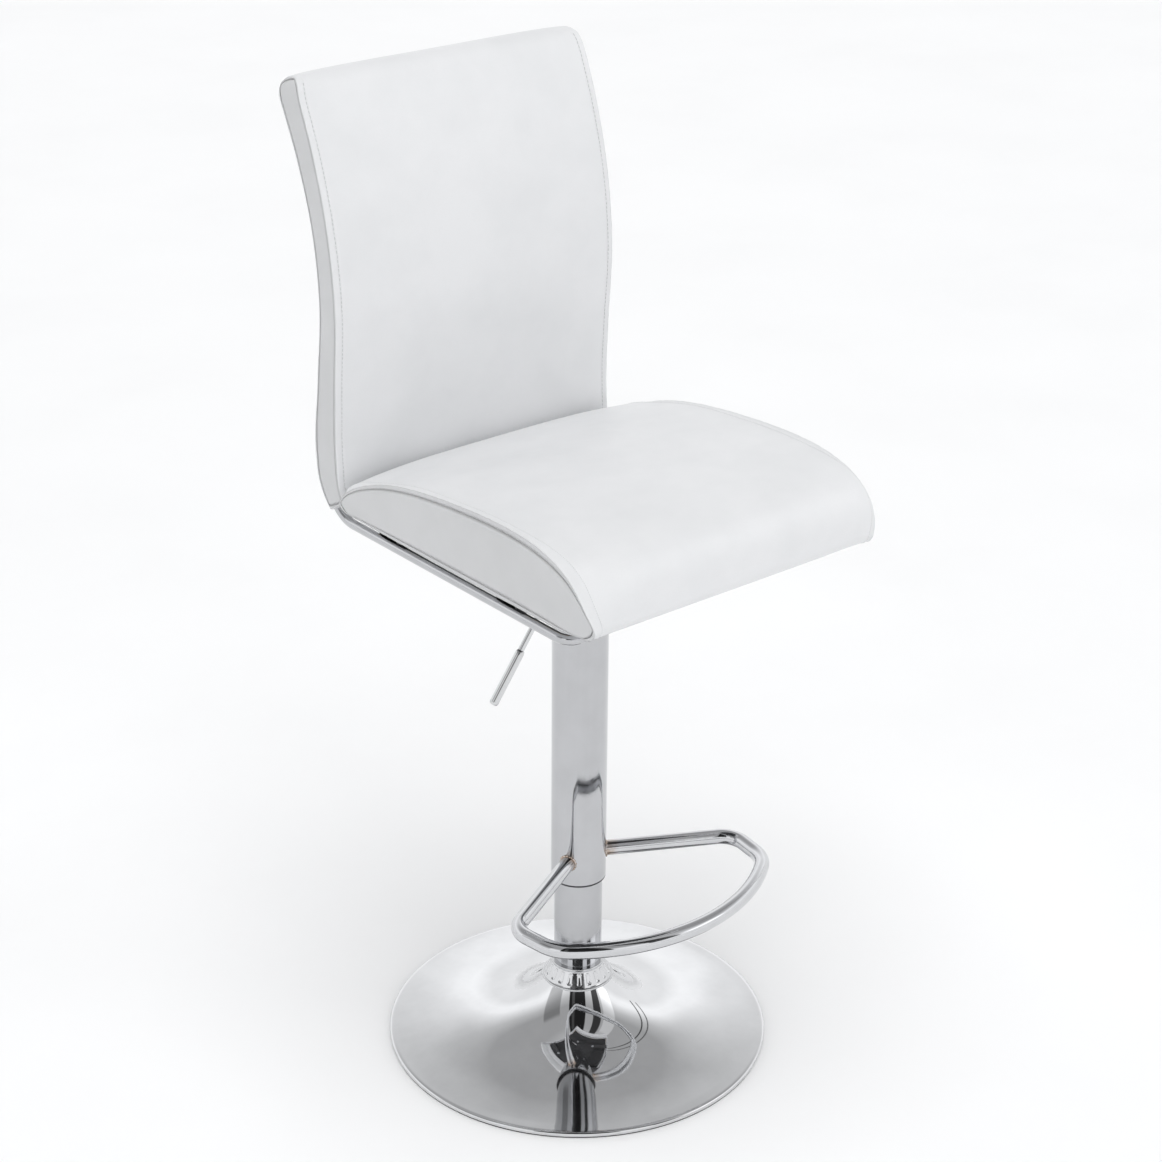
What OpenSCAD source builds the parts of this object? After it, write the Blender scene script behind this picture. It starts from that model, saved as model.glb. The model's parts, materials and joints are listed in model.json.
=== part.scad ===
// Height-adjustable swivel bar stool with a high upholstered back.
// Millimetres, +Z up. The origin is on the column's axis, where the base meets the floor.
// The front of the stool faces -Y and the release lever is on the -X side.

/* [Base] */
// Diameter of the round base
base_d = 400; // [330:5:480]
// Height of the rim of the base cover above the floor
rim_h = 6.3; // [6.2:0.1:9]
// Radius of the rounded edge at the rim
rim_round = 2.5; // [1.6:0.1:3]
// Height of the base cover where it meets the collar
neck_h = 65; // [52:1:85]
// Diameter of the base cover at its neck
neck_d = 70; // [66:1:74]
// Distance over which the cover flares out from the neck
flare = 41; // [36:1:52]
// Sheet thickness of the base cover
cover_t = 1.5; // [1:0.1:1.6]
// Thickness of the rubber ring under the rim
floor_ring_t = 1.2; // [0.8:0.1:2]
// Width of the rubber ring under the rim
floor_ring_w = 15; // [10:1:20]
// Thickness of the steel plate that closes the base from below
base_plate_t = 2; // [1.5:0.1:2]
// Gap between the edge of the base plate and the outside of the base
base_plate_inset = 10; // [6:1:12]
// Diameter of the ballast disc
ballast_d = 224; // [160:4:230]
// Thickness of the ballast disc
ballast_t = 6; // [4:0.5:6.5]
// Diameter of the access hole in the middle of the base plate and the ballast
access_d = 40; // [30:1:50]
// Diameter of the collar's flange
collar_flange_d = 75; // [72:1:84]
// Height of the collar
collar_h = 21; // [18:1:26]
// Thickness of the collar's flange
collar_lip = 2.2; // [1.5:0.1:3]
// Wall of the collar at its top edge
collar_top_wall = 2; // [1.5:0.1:3]
// Number of flutes round the collar
flute_count = 20; // [12:1:24]
// Diameter of each flute
flute_d = 4; // [3:0.2:4.4]

/* [Column] */
// Outer diameter of the fixed column tube
column_d = 50; // [44:1:56]
// Wall of the fixed column tube
column_wall = 2; // [1.5:0.1:3]
// Height of the top of the column tube above the floor
column_top = 404; // [380:1:406]
// Diameter of the foot flange welded under the column
foot_d = 100; // [94:1:110]
// Thickness of the foot flange
foot_t = 5; // [4:0.5:8]
// Thread diameter of the foot bolts
foot_bolt_d = 8; // [6:1:8]
// Diameter of the circle of foot bolts
foot_bolt_circle = 78; // [74:1:80]
// Number of foot bolts
foot_bolt_count = 4; // [3:1:6]
// Length of the plastic bush at the top of the column
bush_len = 60; // [40:1:80]
// Thickness of the bush's flange
bush_flange = 3; // [2:0.5:4]

/* [Thrust bearing] */
// Thickness of each bearing race
race_t = 1.5; // [1:0.1:2.5]
// Outer diameter of the bearing races
race_d = 32; // [30:1:38]
// Diameter of the bearing balls
ball_d = 3; // [2.4:0.1:4]
// Number of bearing balls
ball_count = 12; // [8:1:14]
// Diameter of the circle of ball centres
ball_circle = 22; // [21:1:23]
// Thickness of the ball cage
cage_t = 1; // [0.8:0.1:1.4]
// Width of the ball cage
cage_w = 7; // [6:0.5:8]

/* [Gas lift] */
// Diameter of the gas cylinder
cylinder_d = 28; // [26:1:30]
// Wall of the gas cylinder
cylinder_wall = 1.8; // [1.2:0.1:2.4]
// Length of the gas cylinder
cylinder_len = 282; // [278:1:300]
// Length of the taper at the top of the gas cylinder
taper_len = 36; // [30:1:42]
// Height over which the taper's radius shrinks by one
taper_rate = 35; // [28:1:45]
// Thickness of the solid head of the gas cylinder
head_t = 17; // [12:1:20]
// Diameter of the piston rod
rod_d = 10; // [9:0.5:12]
// Diameter of the spigot at the foot of the piston rod
spigot_d = 8; // [7:0.5:8.5]
// Height of the piston
piston_h = 15; // [12:1:15]
// Height of the top of the piston above the floor
piston_top = 421; // [418:1:424]
// Length of the guide at the bottom of the gas cylinder
guide_len = 25; // [18:1:26]
// Diameter of the valve pin
valve_d = 6; // [5:0.5:8]
// Length of the rubber end stop round the rod
buffer_h = 24; // [14:1:40]
// Diameter of the rubber end stop
buffer_d = 24; // [18:1:30]

/* [Sleeve and footrest] */
// Gap between the column and the inside of the sliding sleeve
sleeve_gap = 2; // [1.6:0.1:4]
// Wall of the sliding sleeve
sleeve_wall = 1.5; // [1:0.1:1.6]
// Height of the sleeve's lower edge above the floor
sleeve_bottom = 188.6; // [180:0.2:196]
// Length of the guide ring inside the sleeve
guide_ring_h = 18; // [12:1:30]
// Height of the guide ring's lip below the sleeve
guide_ring_lip = 1.8; // [1:0.1:3]
// Height of the footrest's centreline above the floor
footrest_z = 215; // [206:1:260]
// Diameter of the footrest tube
footrest_d = 16; // [12:1:20]
// Wall of the footrest tube
footrest_wall = 1.5; // [1:0.1:2]
// Angle of the footrest's legs forward of the sides
leg_angle = 28; // [20:1:34]
// Bend radius where a leg meets the side of the footrest
leg_bend_r = 26; // [20:1:34]
// Angle of that bend
leg_bend = 70; // [60:1:76]
// Straight length at the side of the footrest
side_len = 20; // [5:1:40]
// Bend radius between the side and the front of the footrest
shoulder_r = 42; // [30:1:60]
// Angle of that bend
shoulder_bend = 44; // [34:1:50]
// Radius of the front bow of the footrest
bow_r = 203; // [170:1:240]

/* [Mounting plate] */
// Thickness of the pressed plate
plate_t = 3; // [2:0.5:4]
// Depth of the pressed dish below the flange
dish_depth = 28; // [26:1:36]
// Width of the dish across the seat
dish_w = 100; // [90:1:110]
// Length of the dish from front to back
dish_l = 156; // [150:1:164]
// Corner radius of the dish
dish_r = 18; // [10:1:24]
// Width of the flange across the seat
flange_w = 152; // [146:1:160]
// Length of the flange from front to back
flange_l = 212; // [206:1:220]
// Corner radius of the flange
flange_r = 12; // [6:1:16]
// Wall of the socket that takes the gas cylinder
socket_wall = 3; // [2:0.5:4]
// Distance between the plate bolts across the seat
bolt_x = 120; // [116:1:128]
// Distance between the plate bolts from front to back
bolt_y = 184; // [182:1:190]
// Thread diameter of the plate bolts
bolt_d = 8; // [6:1:8]

/* [Release lever] */
// Diameter of the lever rod
lever_d = 6; // [5:0.5:8]
// Distance of the lever's pivot from the column's axis
pivot_out = 30; // [27:1:33]
// Distance of the lever in front of the column's axis
lever_front = 60; // [56:1:62]
// Height of the lever above the floor of the dish
lever_rise = 13; // [11:1:14]
// Distance from the column's axis to the lever's bend
lever_bend_out = 86; // [82:1:100]
// Bend radius of the lever
lever_bend_r = 14; // [8:1:20]
// Angle by which the lever bends down
lever_drop = 54; // [30:1:70]
// Length of the lever from its bend to its tip
lever_tail = 123; // [90:1:150]
// Diameter of the lever's pivot pin
pivot_d = 5; // [4:0.5:6]
// Diameter of the lever's pivot barrel
barrel_d = 12; // [10:0.5:14]
// Width of the pivot barrel
barrel_w = 13.8; // [10:0.2:14]
// Thickness of the bracket's ears
ear_t = 2.5; // [2:0.1:3]
// Thickness of the arm that presses the valve
press_t = 4; // [3:0.5:5]
// Width of the arm that presses the valve
press_w = 14; // [10:1:16]
// Diameter of the grip
grip_d = 8.6; // [8:0.2:14]
// Length of the grip
grip_len = 62; // [40:1:80]

/* [Seat frame] */
// Diameter of the frame's bent rods
rail_d = 10; // [8:0.5:10]
// Distance between the centres of the two side rods
rail_gap = 330; // [310:1:330]
// Drop of the side rods below the seat
rail_drop = 17; // [15:1:17]
// Distance of the front rod in front of the column's axis
front_rod_y = 182; // [150:1:190]
// Bend radius at the front corners
front_bend_r = 14; // [12:1:30]
// Distance behind the column's axis where the side rods start to bend up
rear_bend_y = 150; // [150:1:151]
// Bend radius at the back
rear_bend_r = 38; // [36:1:38]
// Straight length of the rods inside the back
upright_len = 105; // [90:1:115]
// Depth of the cross bars from front to back
bar_w = 30; // [26:1:34]
// Height of the cross bars
bar_h = 20; // [18:1:20]
// Wall of the cross bars
bar_wall = 1.5; // [1:0.1:2]

/* [Seat] */
// Width of the seat
seat_w = 360; // [344:1:420]
// Height of the underside of the seat
seat_z = 594; // [590:1:604]
// Thickness of the leather
leather_t = 1.2; // [0.8:0.1:1.6]
// Thickness of the seat's plywood board
board_t = 12; // [9:1:15]
// Margin between the board and the sides of the seat
board_margin = 10; // [8:1:20]
// Width of the leather folded under the front and rear edges of the seat board
fold_w = 11; // [7:0.5:15]
// Reach of the folded leather inwards past the middle of each side rail, for the cross bars to bear on
fold_reach = 7; // [4:0.5:12]
// Thickness of the cloth that closes the seat from below
dust_t = 1; // [0.5:0.1:1.1]

/* [Back] */
// Width of the back
back_w = 344; // [343:1:400]
// Depth of the foam in front of the back's board
back_foam_t = 8; // [6:1:9]
// Thickness of the back's curved plywood board
back_board_t = 6; // [4:0.5:6.5]
// Margin between the board and the sides of the back
back_board_margin = 12; // [8:1:20]
// Height of each rod clamp
clamp_h = 18; // [12:1:24]
// Width of each rod clamp
clamp_w = 30; // [26:1:40]
// Thread diameter of the clamp screws
clamp_screw_d = 5; // [4:0.5:6]

/* [Hidden] */
$fn = 64;
// Running clearance on the radius of parts that turn or slide in each other
fit = 0.05;
// Gap between a bearing ball and each race
ball_gap = 0.01;
// Play between parts that pass without touching
play = 0.2;
// Cuts run this far past the faces they go through
past = 1;
// Thickness and length of the band round a joint in a bent bar
band_t = 0.02;
band_len = 0.4;

// Base, from the floor up
base_r = base_d / 2;
plate_z = floor_ring_t + cover_t;
ballast_z = plate_z + base_plate_t;
foot_z = ballast_z + ballast_t;
foot_top = foot_z + foot_t;
hem_w = 13;
collar_top = neck_h + collar_h;
foot_head_d = 2 * foot_bolt_d;
foot_head_h = (foot_head_d - foot_bolt_d) / 2;
foot_nut_h = 0.8 * foot_bolt_d;

// Thrust bearing
race_top = foot_top + race_t;
ball_z = race_top + ball_d / 2;
upper_race_z = race_top + ball_d;
rod_shoulder_z = upper_race_z + race_t;
clip_t = 1;
washer_t = 1.2;
washer_d = 18;
washer_z = foot_z - fit - washer_t;
clip_z = washer_z - clip_t;
clip_d = 15;
groove_d = 6.4;
spigot_end = 2.2;

// Seat frame and mounting plate, from the seat down
rail_r = rail_d / 2;
rail_x = rail_gap / 2;
rail_z = seat_z - rail_drop;
bar_z = seat_z - bar_h;
bar_y = bolt_y / 2;
flange_z = bar_z - plate_t;
dish_z = flange_z - dish_depth;
dish_floor = dish_z + plate_t;
bolt_head_h = 5.3;
washer_h = 1.6;
bolt_flats = 1.625 * bolt_d;

// Gas cylinder and socket
cylinder_r = cylinder_d / 2;
cylinder_top = dish_floor + 3;
cylinder_bottom = cylinder_top - cylinder_len;
taper_z = cylinder_top - taper_len;
bore_r = cylinder_r - cylinder_wall;
head_z = cylinder_top - head_t;
socket_r = cylinder_r + socket_wall;
piston_z = piston_top - piston_h;
seal_h = 3;
seal_depth = 2;

// Lever
lever_r = lever_d / 2;
lever_z = dish_floor + lever_rise;
pivot_r = pivot_d / 2;
press_gap = 0.15;
valve_top = lever_z - lever_r - press_gap;
valve_head_h = 3;
valve_head_d = 10;
valve_drop = 1;
slot_w = 14;
slot_h = 16;
ear_w = 16;
ear_h = lever_rise + 8;
pin_head = 2;
grip_bore = grip_len - 8;

// Sleeve and footrest
column_r = column_d / 2;
sleeve_bore = column_r + sleeve_gap;
sleeve_r = sleeve_bore + sleeve_wall;
ring_h = 12;
leg_heading = 180 + leg_angle;
side_heading = leg_heading + leg_bend;
bow_heading = side_heading + shoulder_bend;
bow_bend = 2 * (360 - bow_heading);
// Sideways travel of a left-hand bend between two headings
function bend_x(r, from, to) = r * (sin(to) - sin(from));
leg_len = -(bend_x(leg_bend_r, leg_heading, side_heading) + side_len * cos(side_heading)
    + bend_x(shoulder_r, side_heading, bow_heading) + bend_x(bow_r, bow_heading, 360)) / cos(leg_heading);

// Seat outline from the side, as distance behind the axis and height above the seat's underside
seat_top = [[157, 6], [133, 32], [75, 58], [0, 72], [-80, 79], [-140, 79], [-190, 71], [-219, 54],
    [-231, 30], [-229, 12], [-221, 3], [-205, 0]];
seat_heel = [[146, 0], [153, 2]];
seat_board_front = -185;
seat_board_rear = 138;

// Spine of the back from the side: distance behind the axis, height above the seat's underside,
// and half of the thickness there
back_spine = [[171.5, -4, 13.9], [181, 14, 17.5], [185, 46, 19.3], [180.5, 116, 17.3],
    [174.3, 204, 15.4], [183.5, 278, 15], [203, 342, 15.8], [227.5, 398, 16.8]];
spine_steps = 6;
back_board_from = 10;
back_board_to = 40;
clamp_zs = [seat_z + 47, seat_z + 101];
clamp_rear = 7;
clamp_past = 1.5;

// ---- Curves ----

function flat2(p) = [p[0], p[1]];
function unit(v) = v / norm(v);
function reversed(p) = [for (i = [len(p) - 1:-1:0]) p[i]];
function gap_at(p, i) = norm(flat2(p[i + 1]) - flat2(p[i]));
function step_at(p, i) = (p[i + 1] - p[i]) / gap_at(p, i);
// Slope of the smooth curve at point i, weighted by the lengths on either side of it
function slope_at(p, i) =
    i == 0 ? step_at(p, 0) :
    i == len(p) - 1 ? step_at(p, i - 1) :
    (step_at(p, i) * gap_at(p, i - 1) + step_at(p, i - 1) * gap_at(p, i)) / (gap_at(p, i) + gap_at(p, i - 1));
function curve_at(p, i, t) =
    (2 * t * t * t - 3 * t * t + 1) * p[i]
    + (t * t * t - 2 * t * t + t) * gap_at(p, i) * slope_at(p, i)
    + (3 * t * t - 2 * t * t * t) * p[i + 1]
    + (t * t * t - t * t) * gap_at(p, i) * slope_at(p, i + 1);
// Smooth curve through the points p, with n steps between neighbours
function smooth(p, n) = concat(
    [for (i = [0:len(p) - 2], k = [0:n - 1]) curve_at(p, i, k / n)], [p[len(p) - 1]]);
function left_of(v) = [-v[1], v[0]];
function dir_at(p, i) = unit(flat2(p[i + 1]) - flat2(p[i]));
// Mitred left-hand normal between two directions
function mitre(a, b) = (left_of(a) + left_of(b)) / (1 + a * b);
function normal_at(p, i) =
    let (a = dir_at(p, max(i - 1, 0)), b = dir_at(p, min(i, len(p) - 2))) mitre(a, b);
// An open line moved to its left by d
function moved(p, d) = [for (i = [0:len(p) - 1]) flat2(p[i]) + d * normal_at(p, i)];
// A closed outline moved to its left by d
function inset(p, d) = let (n = len(p)) [for (i = [0:n - 1])
    p[i] + d * mitre(unit(p[i] - p[(i + n - 1) % n]), unit(p[(i + 1) % n] - p[i]))];

// ---- Helpers ----

// A flat outline in the YZ plane, extruded to width w about the middle of the stool
module across(w) {
    rotate([90, 0, 90]) linear_extrude(height = w, center = true) children();
}

module ring(r_out, r_in, h) {
    difference() {
        cylinder(r = r_out, h = h);
        translate([0, 0, -past]) cylinder(r = r_in, h = h + 2 * past);
    }
}

module rounded_slab(w, l, r, h) {
    linear_extrude(height = h) union() {
        square([w - 2 * r, l], center = true);
        square([w, l - 2 * r], center = true);
        for (x = [-1, 1], y = [-1, 1])
            translate([x * (w / 2 - r), y * (l / 2 - r)]) circle(r = r);
    }
}

module bar_section(r, r_in) {
    difference() {
        circle(r = r);
        if (r_in > 0)
            circle(r = r_in);
    }
}

// Hair-thin band that joins two stretches of a bar where their ends meet
module joint_band(r, r_in) {
    rotate([0, 90, 0]) linear_extrude(height = band_len, center = true)
        bar_section(r + band_t, r_in > 0 ? r_in - band_t : 0);
}

// Round bar from the origin along +X, or a tube where r_in isn't 0. Each step is
// [length, bend radius, bend angle, roll]: a roll about the bar, a straight length, a bend to the left.
module bent_bar(steps, r, r_in = 0, i = 0) {
    if (i < len(steps)) {
        length = steps[i][0];
        bend_r = steps[i][1];
        angle = steps[i][2];
        rotate([steps[i][3], 0, 0]) {
            if (length > 0)
                rotate([0, 90, 0]) linear_extrude(height = length) bar_section(r, r_in);
            if (i > 0)
                joint_band(r, r_in);
            if (length > 0 && angle > 0)
                translate([length, 0, 0]) joint_band(r, r_in);
            translate([length, bend_r, 0]) {
                if (angle > 0)
                    rotate([0, 0, -90]) rotate_extrude(angle = angle)
                        translate([bend_r, 0]) bar_section(r, r_in);
                rotate([0, 0, angle]) translate([0, -bend_r, 0]) bent_bar(steps, r, r_in, i + 1);
            }
        }
    }
}

module at_plate_bolts() {
    for (x = [-1, 1], y = [-1, 1])
        translate([x * bolt_x / 2, y * bolt_y / 2, 0]) children();
}

module at_foot_bolts() {
    for (i = [0:foot_bolt_count - 1])
        rotate([0, 0, 45 + i * 360 / foot_bolt_count]) translate([foot_bolt_circle / 2, 0, 0]) children();
}

// ---- Base ----

function flare_share(r) = exp(-(r - neck_d / 2) / flare);
function cover_z(r) = rim_h + (neck_h - rim_h)
    * (flare_share(r) - flare_share(base_r)) / (1 - flare_share(base_r));
cover_steps = 40;
cover_line = concat(
    [for (i = [0:cover_steps]) let (r = neck_d / 2 + pow(i / cover_steps, 1.3)
        * (base_r - rim_round - neck_d / 2)) [r, cover_z(r)]],
    [for (a = [75:-15:0]) [base_r - rim_round + rim_round * cos(a), rim_h - rim_round + rim_round * sin(a)]],
    [[base_r, floor_ring_t], [base_r - hem_w, floor_ring_t]]);

module base_cover() {
    color([0.86, 0.87, 0.88]) rotate_extrude($fn = 128)
        polygon(concat(cover_line, reversed(moved(cover_line, -cover_t))));
}

module floor_ring() {
    color([0.08, 0.08, 0.09]) ring(base_r - past, base_r - past - floor_ring_w, floor_ring_t);
}

module foot_bolt_holes(clearance) {
    at_foot_bolts() {
        translate([0, 0, plate_z]) cylinder(r1 = foot_head_d / 2, r2 = foot_bolt_d / 2, h = foot_head_h);
        cylinder(r = foot_bolt_d / 2 + clearance, h = foot_top + past);
    }
}

module base_plate() {
    color([0.3, 0.31, 0.32]) difference() {
        translate([0, 0, plate_z]) ring(base_r - base_plate_inset, access_d / 2, base_plate_t);
        foot_bolt_holes(0);
    }
}

module ballast_disc() {
    color([0.25, 0.26, 0.27]) difference() {
        translate([0, 0, ballast_z]) ring(ballast_d / 2, access_d / 2, ballast_t);
        foot_bolt_holes(play);
    }
}

module column_foot() {
    color([0.35, 0.36, 0.37]) difference() {
        translate([0, 0, foot_z]) ring(foot_d / 2, spigot_d / 2 + fit, foot_t);
        foot_bolt_holes(play);
    }
}

module foot_bolts() {
    color([0.55, 0.56, 0.58]) at_foot_bolts() union() {
        translate([0, 0, plate_z]) cylinder(r1 = foot_head_d / 2, r2 = foot_bolt_d / 2, h = foot_head_h);
        translate([0, 0, plate_z]) cylinder(r = foot_bolt_d / 2, h = foot_top + foot_nut_h + 2 - plate_z);
    }
}

module foot_nuts() {
    color([0.6, 0.61, 0.63]) at_foot_bolts() translate([0, 0, foot_top]) difference() {
        cylinder(r = 0.9 * foot_bolt_d, h = foot_nut_h, $fn = 6);
        translate([0, 0, -past]) cylinder(r = foot_bolt_d / 2, h = foot_nut_h + 2 * past);
    }
}

// The collar is a flanged cone round the foot of the column, with flutes down its side
module base_collar() {
    lip_r = collar_flange_d / 2;
    foot_r = lip_r - 2;
    top_r = column_r + collar_top_wall;
    cone_z = neck_h + collar_lip;
    cone_top = collar_top - 2;
    tilt = atan2(foot_r - top_r, cone_top - cone_z);
    color([0.86, 0.87, 0.88]) difference() {
        rotate_extrude() polygon([[column_r, neck_h], [lip_r, neck_h], [lip_r, cone_z],
            [foot_r, cone_z], [top_r, cone_top], [top_r, collar_top], [column_r, collar_top]]);
        for (i = [0:flute_count - 1])
            rotate([0, 0, i * 360 / flute_count])
                translate([(foot_r + top_r) / 2 + 1.1, 0, (cone_z + cone_top) / 2])
                    rotate([0, -tilt, 0]) cylinder(r = flute_d / 2, h = 11, center = true);
    }
}

// ---- Column ----

module column_tube() {
    color([0.86, 0.87, 0.88]) translate([0, 0, foot_top])
        ring(column_r, column_r - column_wall, column_top - foot_top);
}

module column_bush() {
    color([0.1, 0.1, 0.11]) difference() {
        union() {
            translate([0, 0, column_top - bush_len]) cylinder(r = column_r - column_wall, h = bush_len);
            translate([0, 0, column_top]) cylinder(r = sleeve_bore - play, h = bush_flange);
        }
        translate([0, 0, column_top - bush_len - past])
            cylinder(r = cylinder_r + fit, h = bush_len + bush_flange + 2 * past);
    }
}

// ---- Thrust bearing and rod fixing ----

module lower_race() {
    color([0.6, 0.61, 0.63]) translate([0, 0, foot_top]) ring(race_d / 2, spigot_d / 2 + play, race_t);
}

module at_balls() {
    for (i = [0:ball_count - 1])
        rotate([0, 0, i * 360 / ball_count]) translate([ball_circle / 2, 0, ball_z]) children();
}

module ball_cage() {
    color([0.75, 0.62, 0.3]) difference() {
        translate([0, 0, ball_z - cage_t / 2])
            ring(ball_circle / 2 + cage_w / 2, ball_circle / 2 - cage_w / 2, cage_t);
        at_balls() cylinder(r = ball_d / 2 + fit, h = ball_d, center = true);
    }
}

module bearing_balls() {
    color([0.8, 0.8, 0.82]) at_balls() sphere(r = ball_d / 2 - ball_gap);
}

module upper_race() {
    color([0.6, 0.61, 0.63]) translate([0, 0, upper_race_z]) ring(race_d / 2, spigot_d / 2, race_t);
}

module rubber_buffer() {
    color([0.07, 0.07, 0.08]) translate([0, 0, rod_shoulder_z]) ring(buffer_d / 2, rod_d / 2, buffer_h);
}

module rod_washer() {
    color([0.6, 0.61, 0.63]) translate([0, 0, washer_z]) ring(washer_d / 2, spigot_d / 2, washer_t);
}

// Open spring clip in the groove at the foot of the rod
module rod_clip() {
    color([0.2, 0.2, 0.22]) translate([0, 0, clip_z]) difference() {
        ring(clip_d / 2, groove_d / 2, clip_t);
        translate([0, -groove_d / 2 + 0.4, -past]) cube([clip_d, groove_d - 0.8, clip_t + 2 * past]);
    }
}

module piston_rod() {
    color([0.7, 0.71, 0.73]) rotate_extrude() polygon([[0, clip_z - spigot_end],
        [spigot_d / 2, clip_z - spigot_end], [spigot_d / 2, clip_z], [groove_d / 2, clip_z],
        [groove_d / 2, washer_z], [spigot_d / 2, washer_z], [spigot_d / 2, rod_shoulder_z],
        [rod_d / 2, rod_shoulder_z], [rod_d / 2, piston_top], [0, piston_top]]);
}

module piston() {
    seal_z = piston_z + (piston_h - seal_h) / 2;
    piston_r = bore_r - play;
    color([0.6, 0.61, 0.63]) difference() {
        translate([0, 0, piston_z]) ring(piston_r, rod_d / 2, piston_h);
        translate([0, 0, seal_z]) ring(piston_r + past, bore_r - seal_depth, seal_h);
    }
}

module piston_seal() {
    color([0.07, 0.07, 0.08]) translate([0, 0, piston_z + (piston_h - seal_h) / 2])
        ring(bore_r - fit, bore_r - seal_depth, seal_h);
}

// ---- Gas cylinder ----

function taper_r(z) = cylinder_r - (z - taper_z) / taper_rate;

module gas_cylinder() {
    valve_r = valve_d / 2 + fit;
    color([0.13, 0.13, 0.14]) rotate_extrude() polygon([[bore_r, cylinder_bottom],
        [cylinder_r, cylinder_bottom], [cylinder_r, taper_z], [taper_r(cylinder_top), cylinder_top],
        [valve_r, cylinder_top], [valve_r, head_z], [bore_r, head_z]]);
}

module cylinder_guide() {
    color([0.5, 0.5, 0.52]) translate([0, 0, cylinder_bottom]) ring(bore_r, rod_d / 2 + fit, guide_len);
}

module valve_pin() {
    head_bottom = head_z - valve_drop - valve_head_h;
    dome_r = valve_d;
    color([0.75, 0.76, 0.78]) union() {
        translate([0, 0, head_bottom]) cylinder(r = valve_head_d / 2, h = valve_head_h);
        intersection() {
            translate([0, 0, head_bottom]) cylinder(r = valve_d / 2, h = valve_top - head_bottom);
            union() {
                translate([0, 0, valve_top - dome_r]) sphere(r = dome_r);
                translate([0, 0, head_bottom])
                    cylinder(r = valve_d / 2 + past, h = valve_top - dome_r - head_bottom);
            }
        }
    }
}

// ---- Mounting plate ----

module cone_socket() {
    color([0.16, 0.16, 0.17]) rotate_extrude() polygon([[taper_r(taper_z), taper_z], [socket_r, taper_z],
        [socket_r, dish_floor], [taper_r(dish_floor), dish_floor]]);
}

module mounting_plate() {
    color([0.16, 0.16, 0.17]) difference() {
        union() {
            translate([0, 0, flange_z]) rounded_slab(flange_w, flange_l, flange_r, plate_t);
            translate([0, 0, dish_z]) rounded_slab(dish_w, dish_l, dish_r, dish_depth + plate_t);
        }
        translate([0, 0, dish_floor])
            rounded_slab(dish_w - 2 * plate_t, dish_l - 2 * plate_t, dish_r - plate_t, dish_depth + past);
        translate([0, 0, dish_z - past]) cylinder(r = socket_r, h = plate_t + 2 * past);
        at_plate_bolts() translate([0, 0, flange_z - past])
            cylinder(r = bolt_d / 2 + play, h = plate_t + 2 * past);
        translate([-dish_w / 2 - past, -lever_front - slot_w / 2, lever_z - slot_h / 2])
            cube([plate_t + 2 * past, slot_w, slot_h]);
    }
}

module hex_head(flats, h) {
    cylinder(r = flats / sqrt(3), h = h, $fn = 6);
}

module plate_bolts() {
    head_z0 = flange_z - washer_h - bolt_head_h;
    color([0.6, 0.61, 0.63]) at_plate_bolts() union() {
        translate([0, 0, head_z0]) hex_head(bolt_flats, bolt_head_h);
        translate([0, 0, head_z0]) cylinder(r = bolt_d / 2, h = board_top - head_z0);
    }
}

module plate_washers() {
    color([0.6, 0.61, 0.63]) at_plate_bolts() translate([0, 0, flange_z - washer_h])
        ring(bolt_d, bolt_d / 2, washer_h);
}

// ---- Sleeve and footrest ----

module sleeve_tube() {
    color([0.86, 0.87, 0.88]) translate([0, 0, sleeve_bottom])
        ring(sleeve_r, sleeve_bore, dish_z - sleeve_bottom);
}

module sleeve_spacer() {
    color([0.1, 0.1, 0.11]) translate([0, 0, dish_z - ring_h]) ring(sleeve_bore, socket_r, ring_h);
}

module sleeve_guide_ring() {
    color([0.08, 0.08, 0.09]) difference() {
        union() {
            translate([0, 0, sleeve_bottom]) cylinder(r = sleeve_bore, h = guide_ring_h);
            translate([0, 0, sleeve_bottom - guide_ring_lip])
                cylinder(r = sleeve_r - play, h = guide_ring_lip);
        }
        translate([0, 0, sleeve_bottom - guide_ring_lip - past])
            cylinder(r = column_r + fit, h = guide_ring_h + guide_ring_lip + 2 * past);
    }
}

leg_start = sleeve_bore;
leg_out = leg_len - leg_start;
footrest_steps = [[leg_out, leg_bend_r, leg_bend, 0], [side_len, shoulder_r, shoulder_bend, 0],
    [0, bow_r, bow_bend, 0], [0, shoulder_r, shoulder_bend, 0], [side_len, leg_bend_r, leg_bend, 0],
    [leg_out, 0, 0, 0]];

module footrest_ring() {
    color([0.86, 0.87, 0.88]) difference() {
        translate([0, 0, footrest_z]) rotate([0, 0, leg_heading]) translate([leg_start, 0, 0])
            bent_bar(footrest_steps, footrest_d / 2, footrest_d / 2 - footrest_wall);
        translate([0, 0, footrest_z - footrest_d]) cylinder(r = sleeve_r, h = 2 * footrest_d);
    }
}

// ---- Release lever ----

module at_pivot() {
    translate([-pivot_out, -lever_front, lever_z]) rotate([90, 0, 0]) children();
}

module lever_bracket() {
    ear_y = barrel_w / 2 + 0.1;
    color([0.16, 0.16, 0.17]) difference() {
        for (s = [-1, 1])
            translate([-pivot_out - ear_w / 2, -lever_front + s * (ear_y + ear_t / 2) - ear_t / 2, dish_floor])
                cube([ear_w, ear_t, ear_h]);
        at_pivot() cylinder(r = pivot_r, h = 2 * slot_w, center = true);
    }
}

module lever_pivot_pin() {
    reach = barrel_w / 2 + 0.1 + ear_t;
    color([0.6, 0.61, 0.63]) at_pivot() union() {
        translate([0, 0, -reach - 3]) cylinder(r = pivot_r, h = 2 * reach + 3);
        translate([0, 0, reach]) cylinder(r = pivot_r + 1.8, h = pin_head);
    }
}

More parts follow.
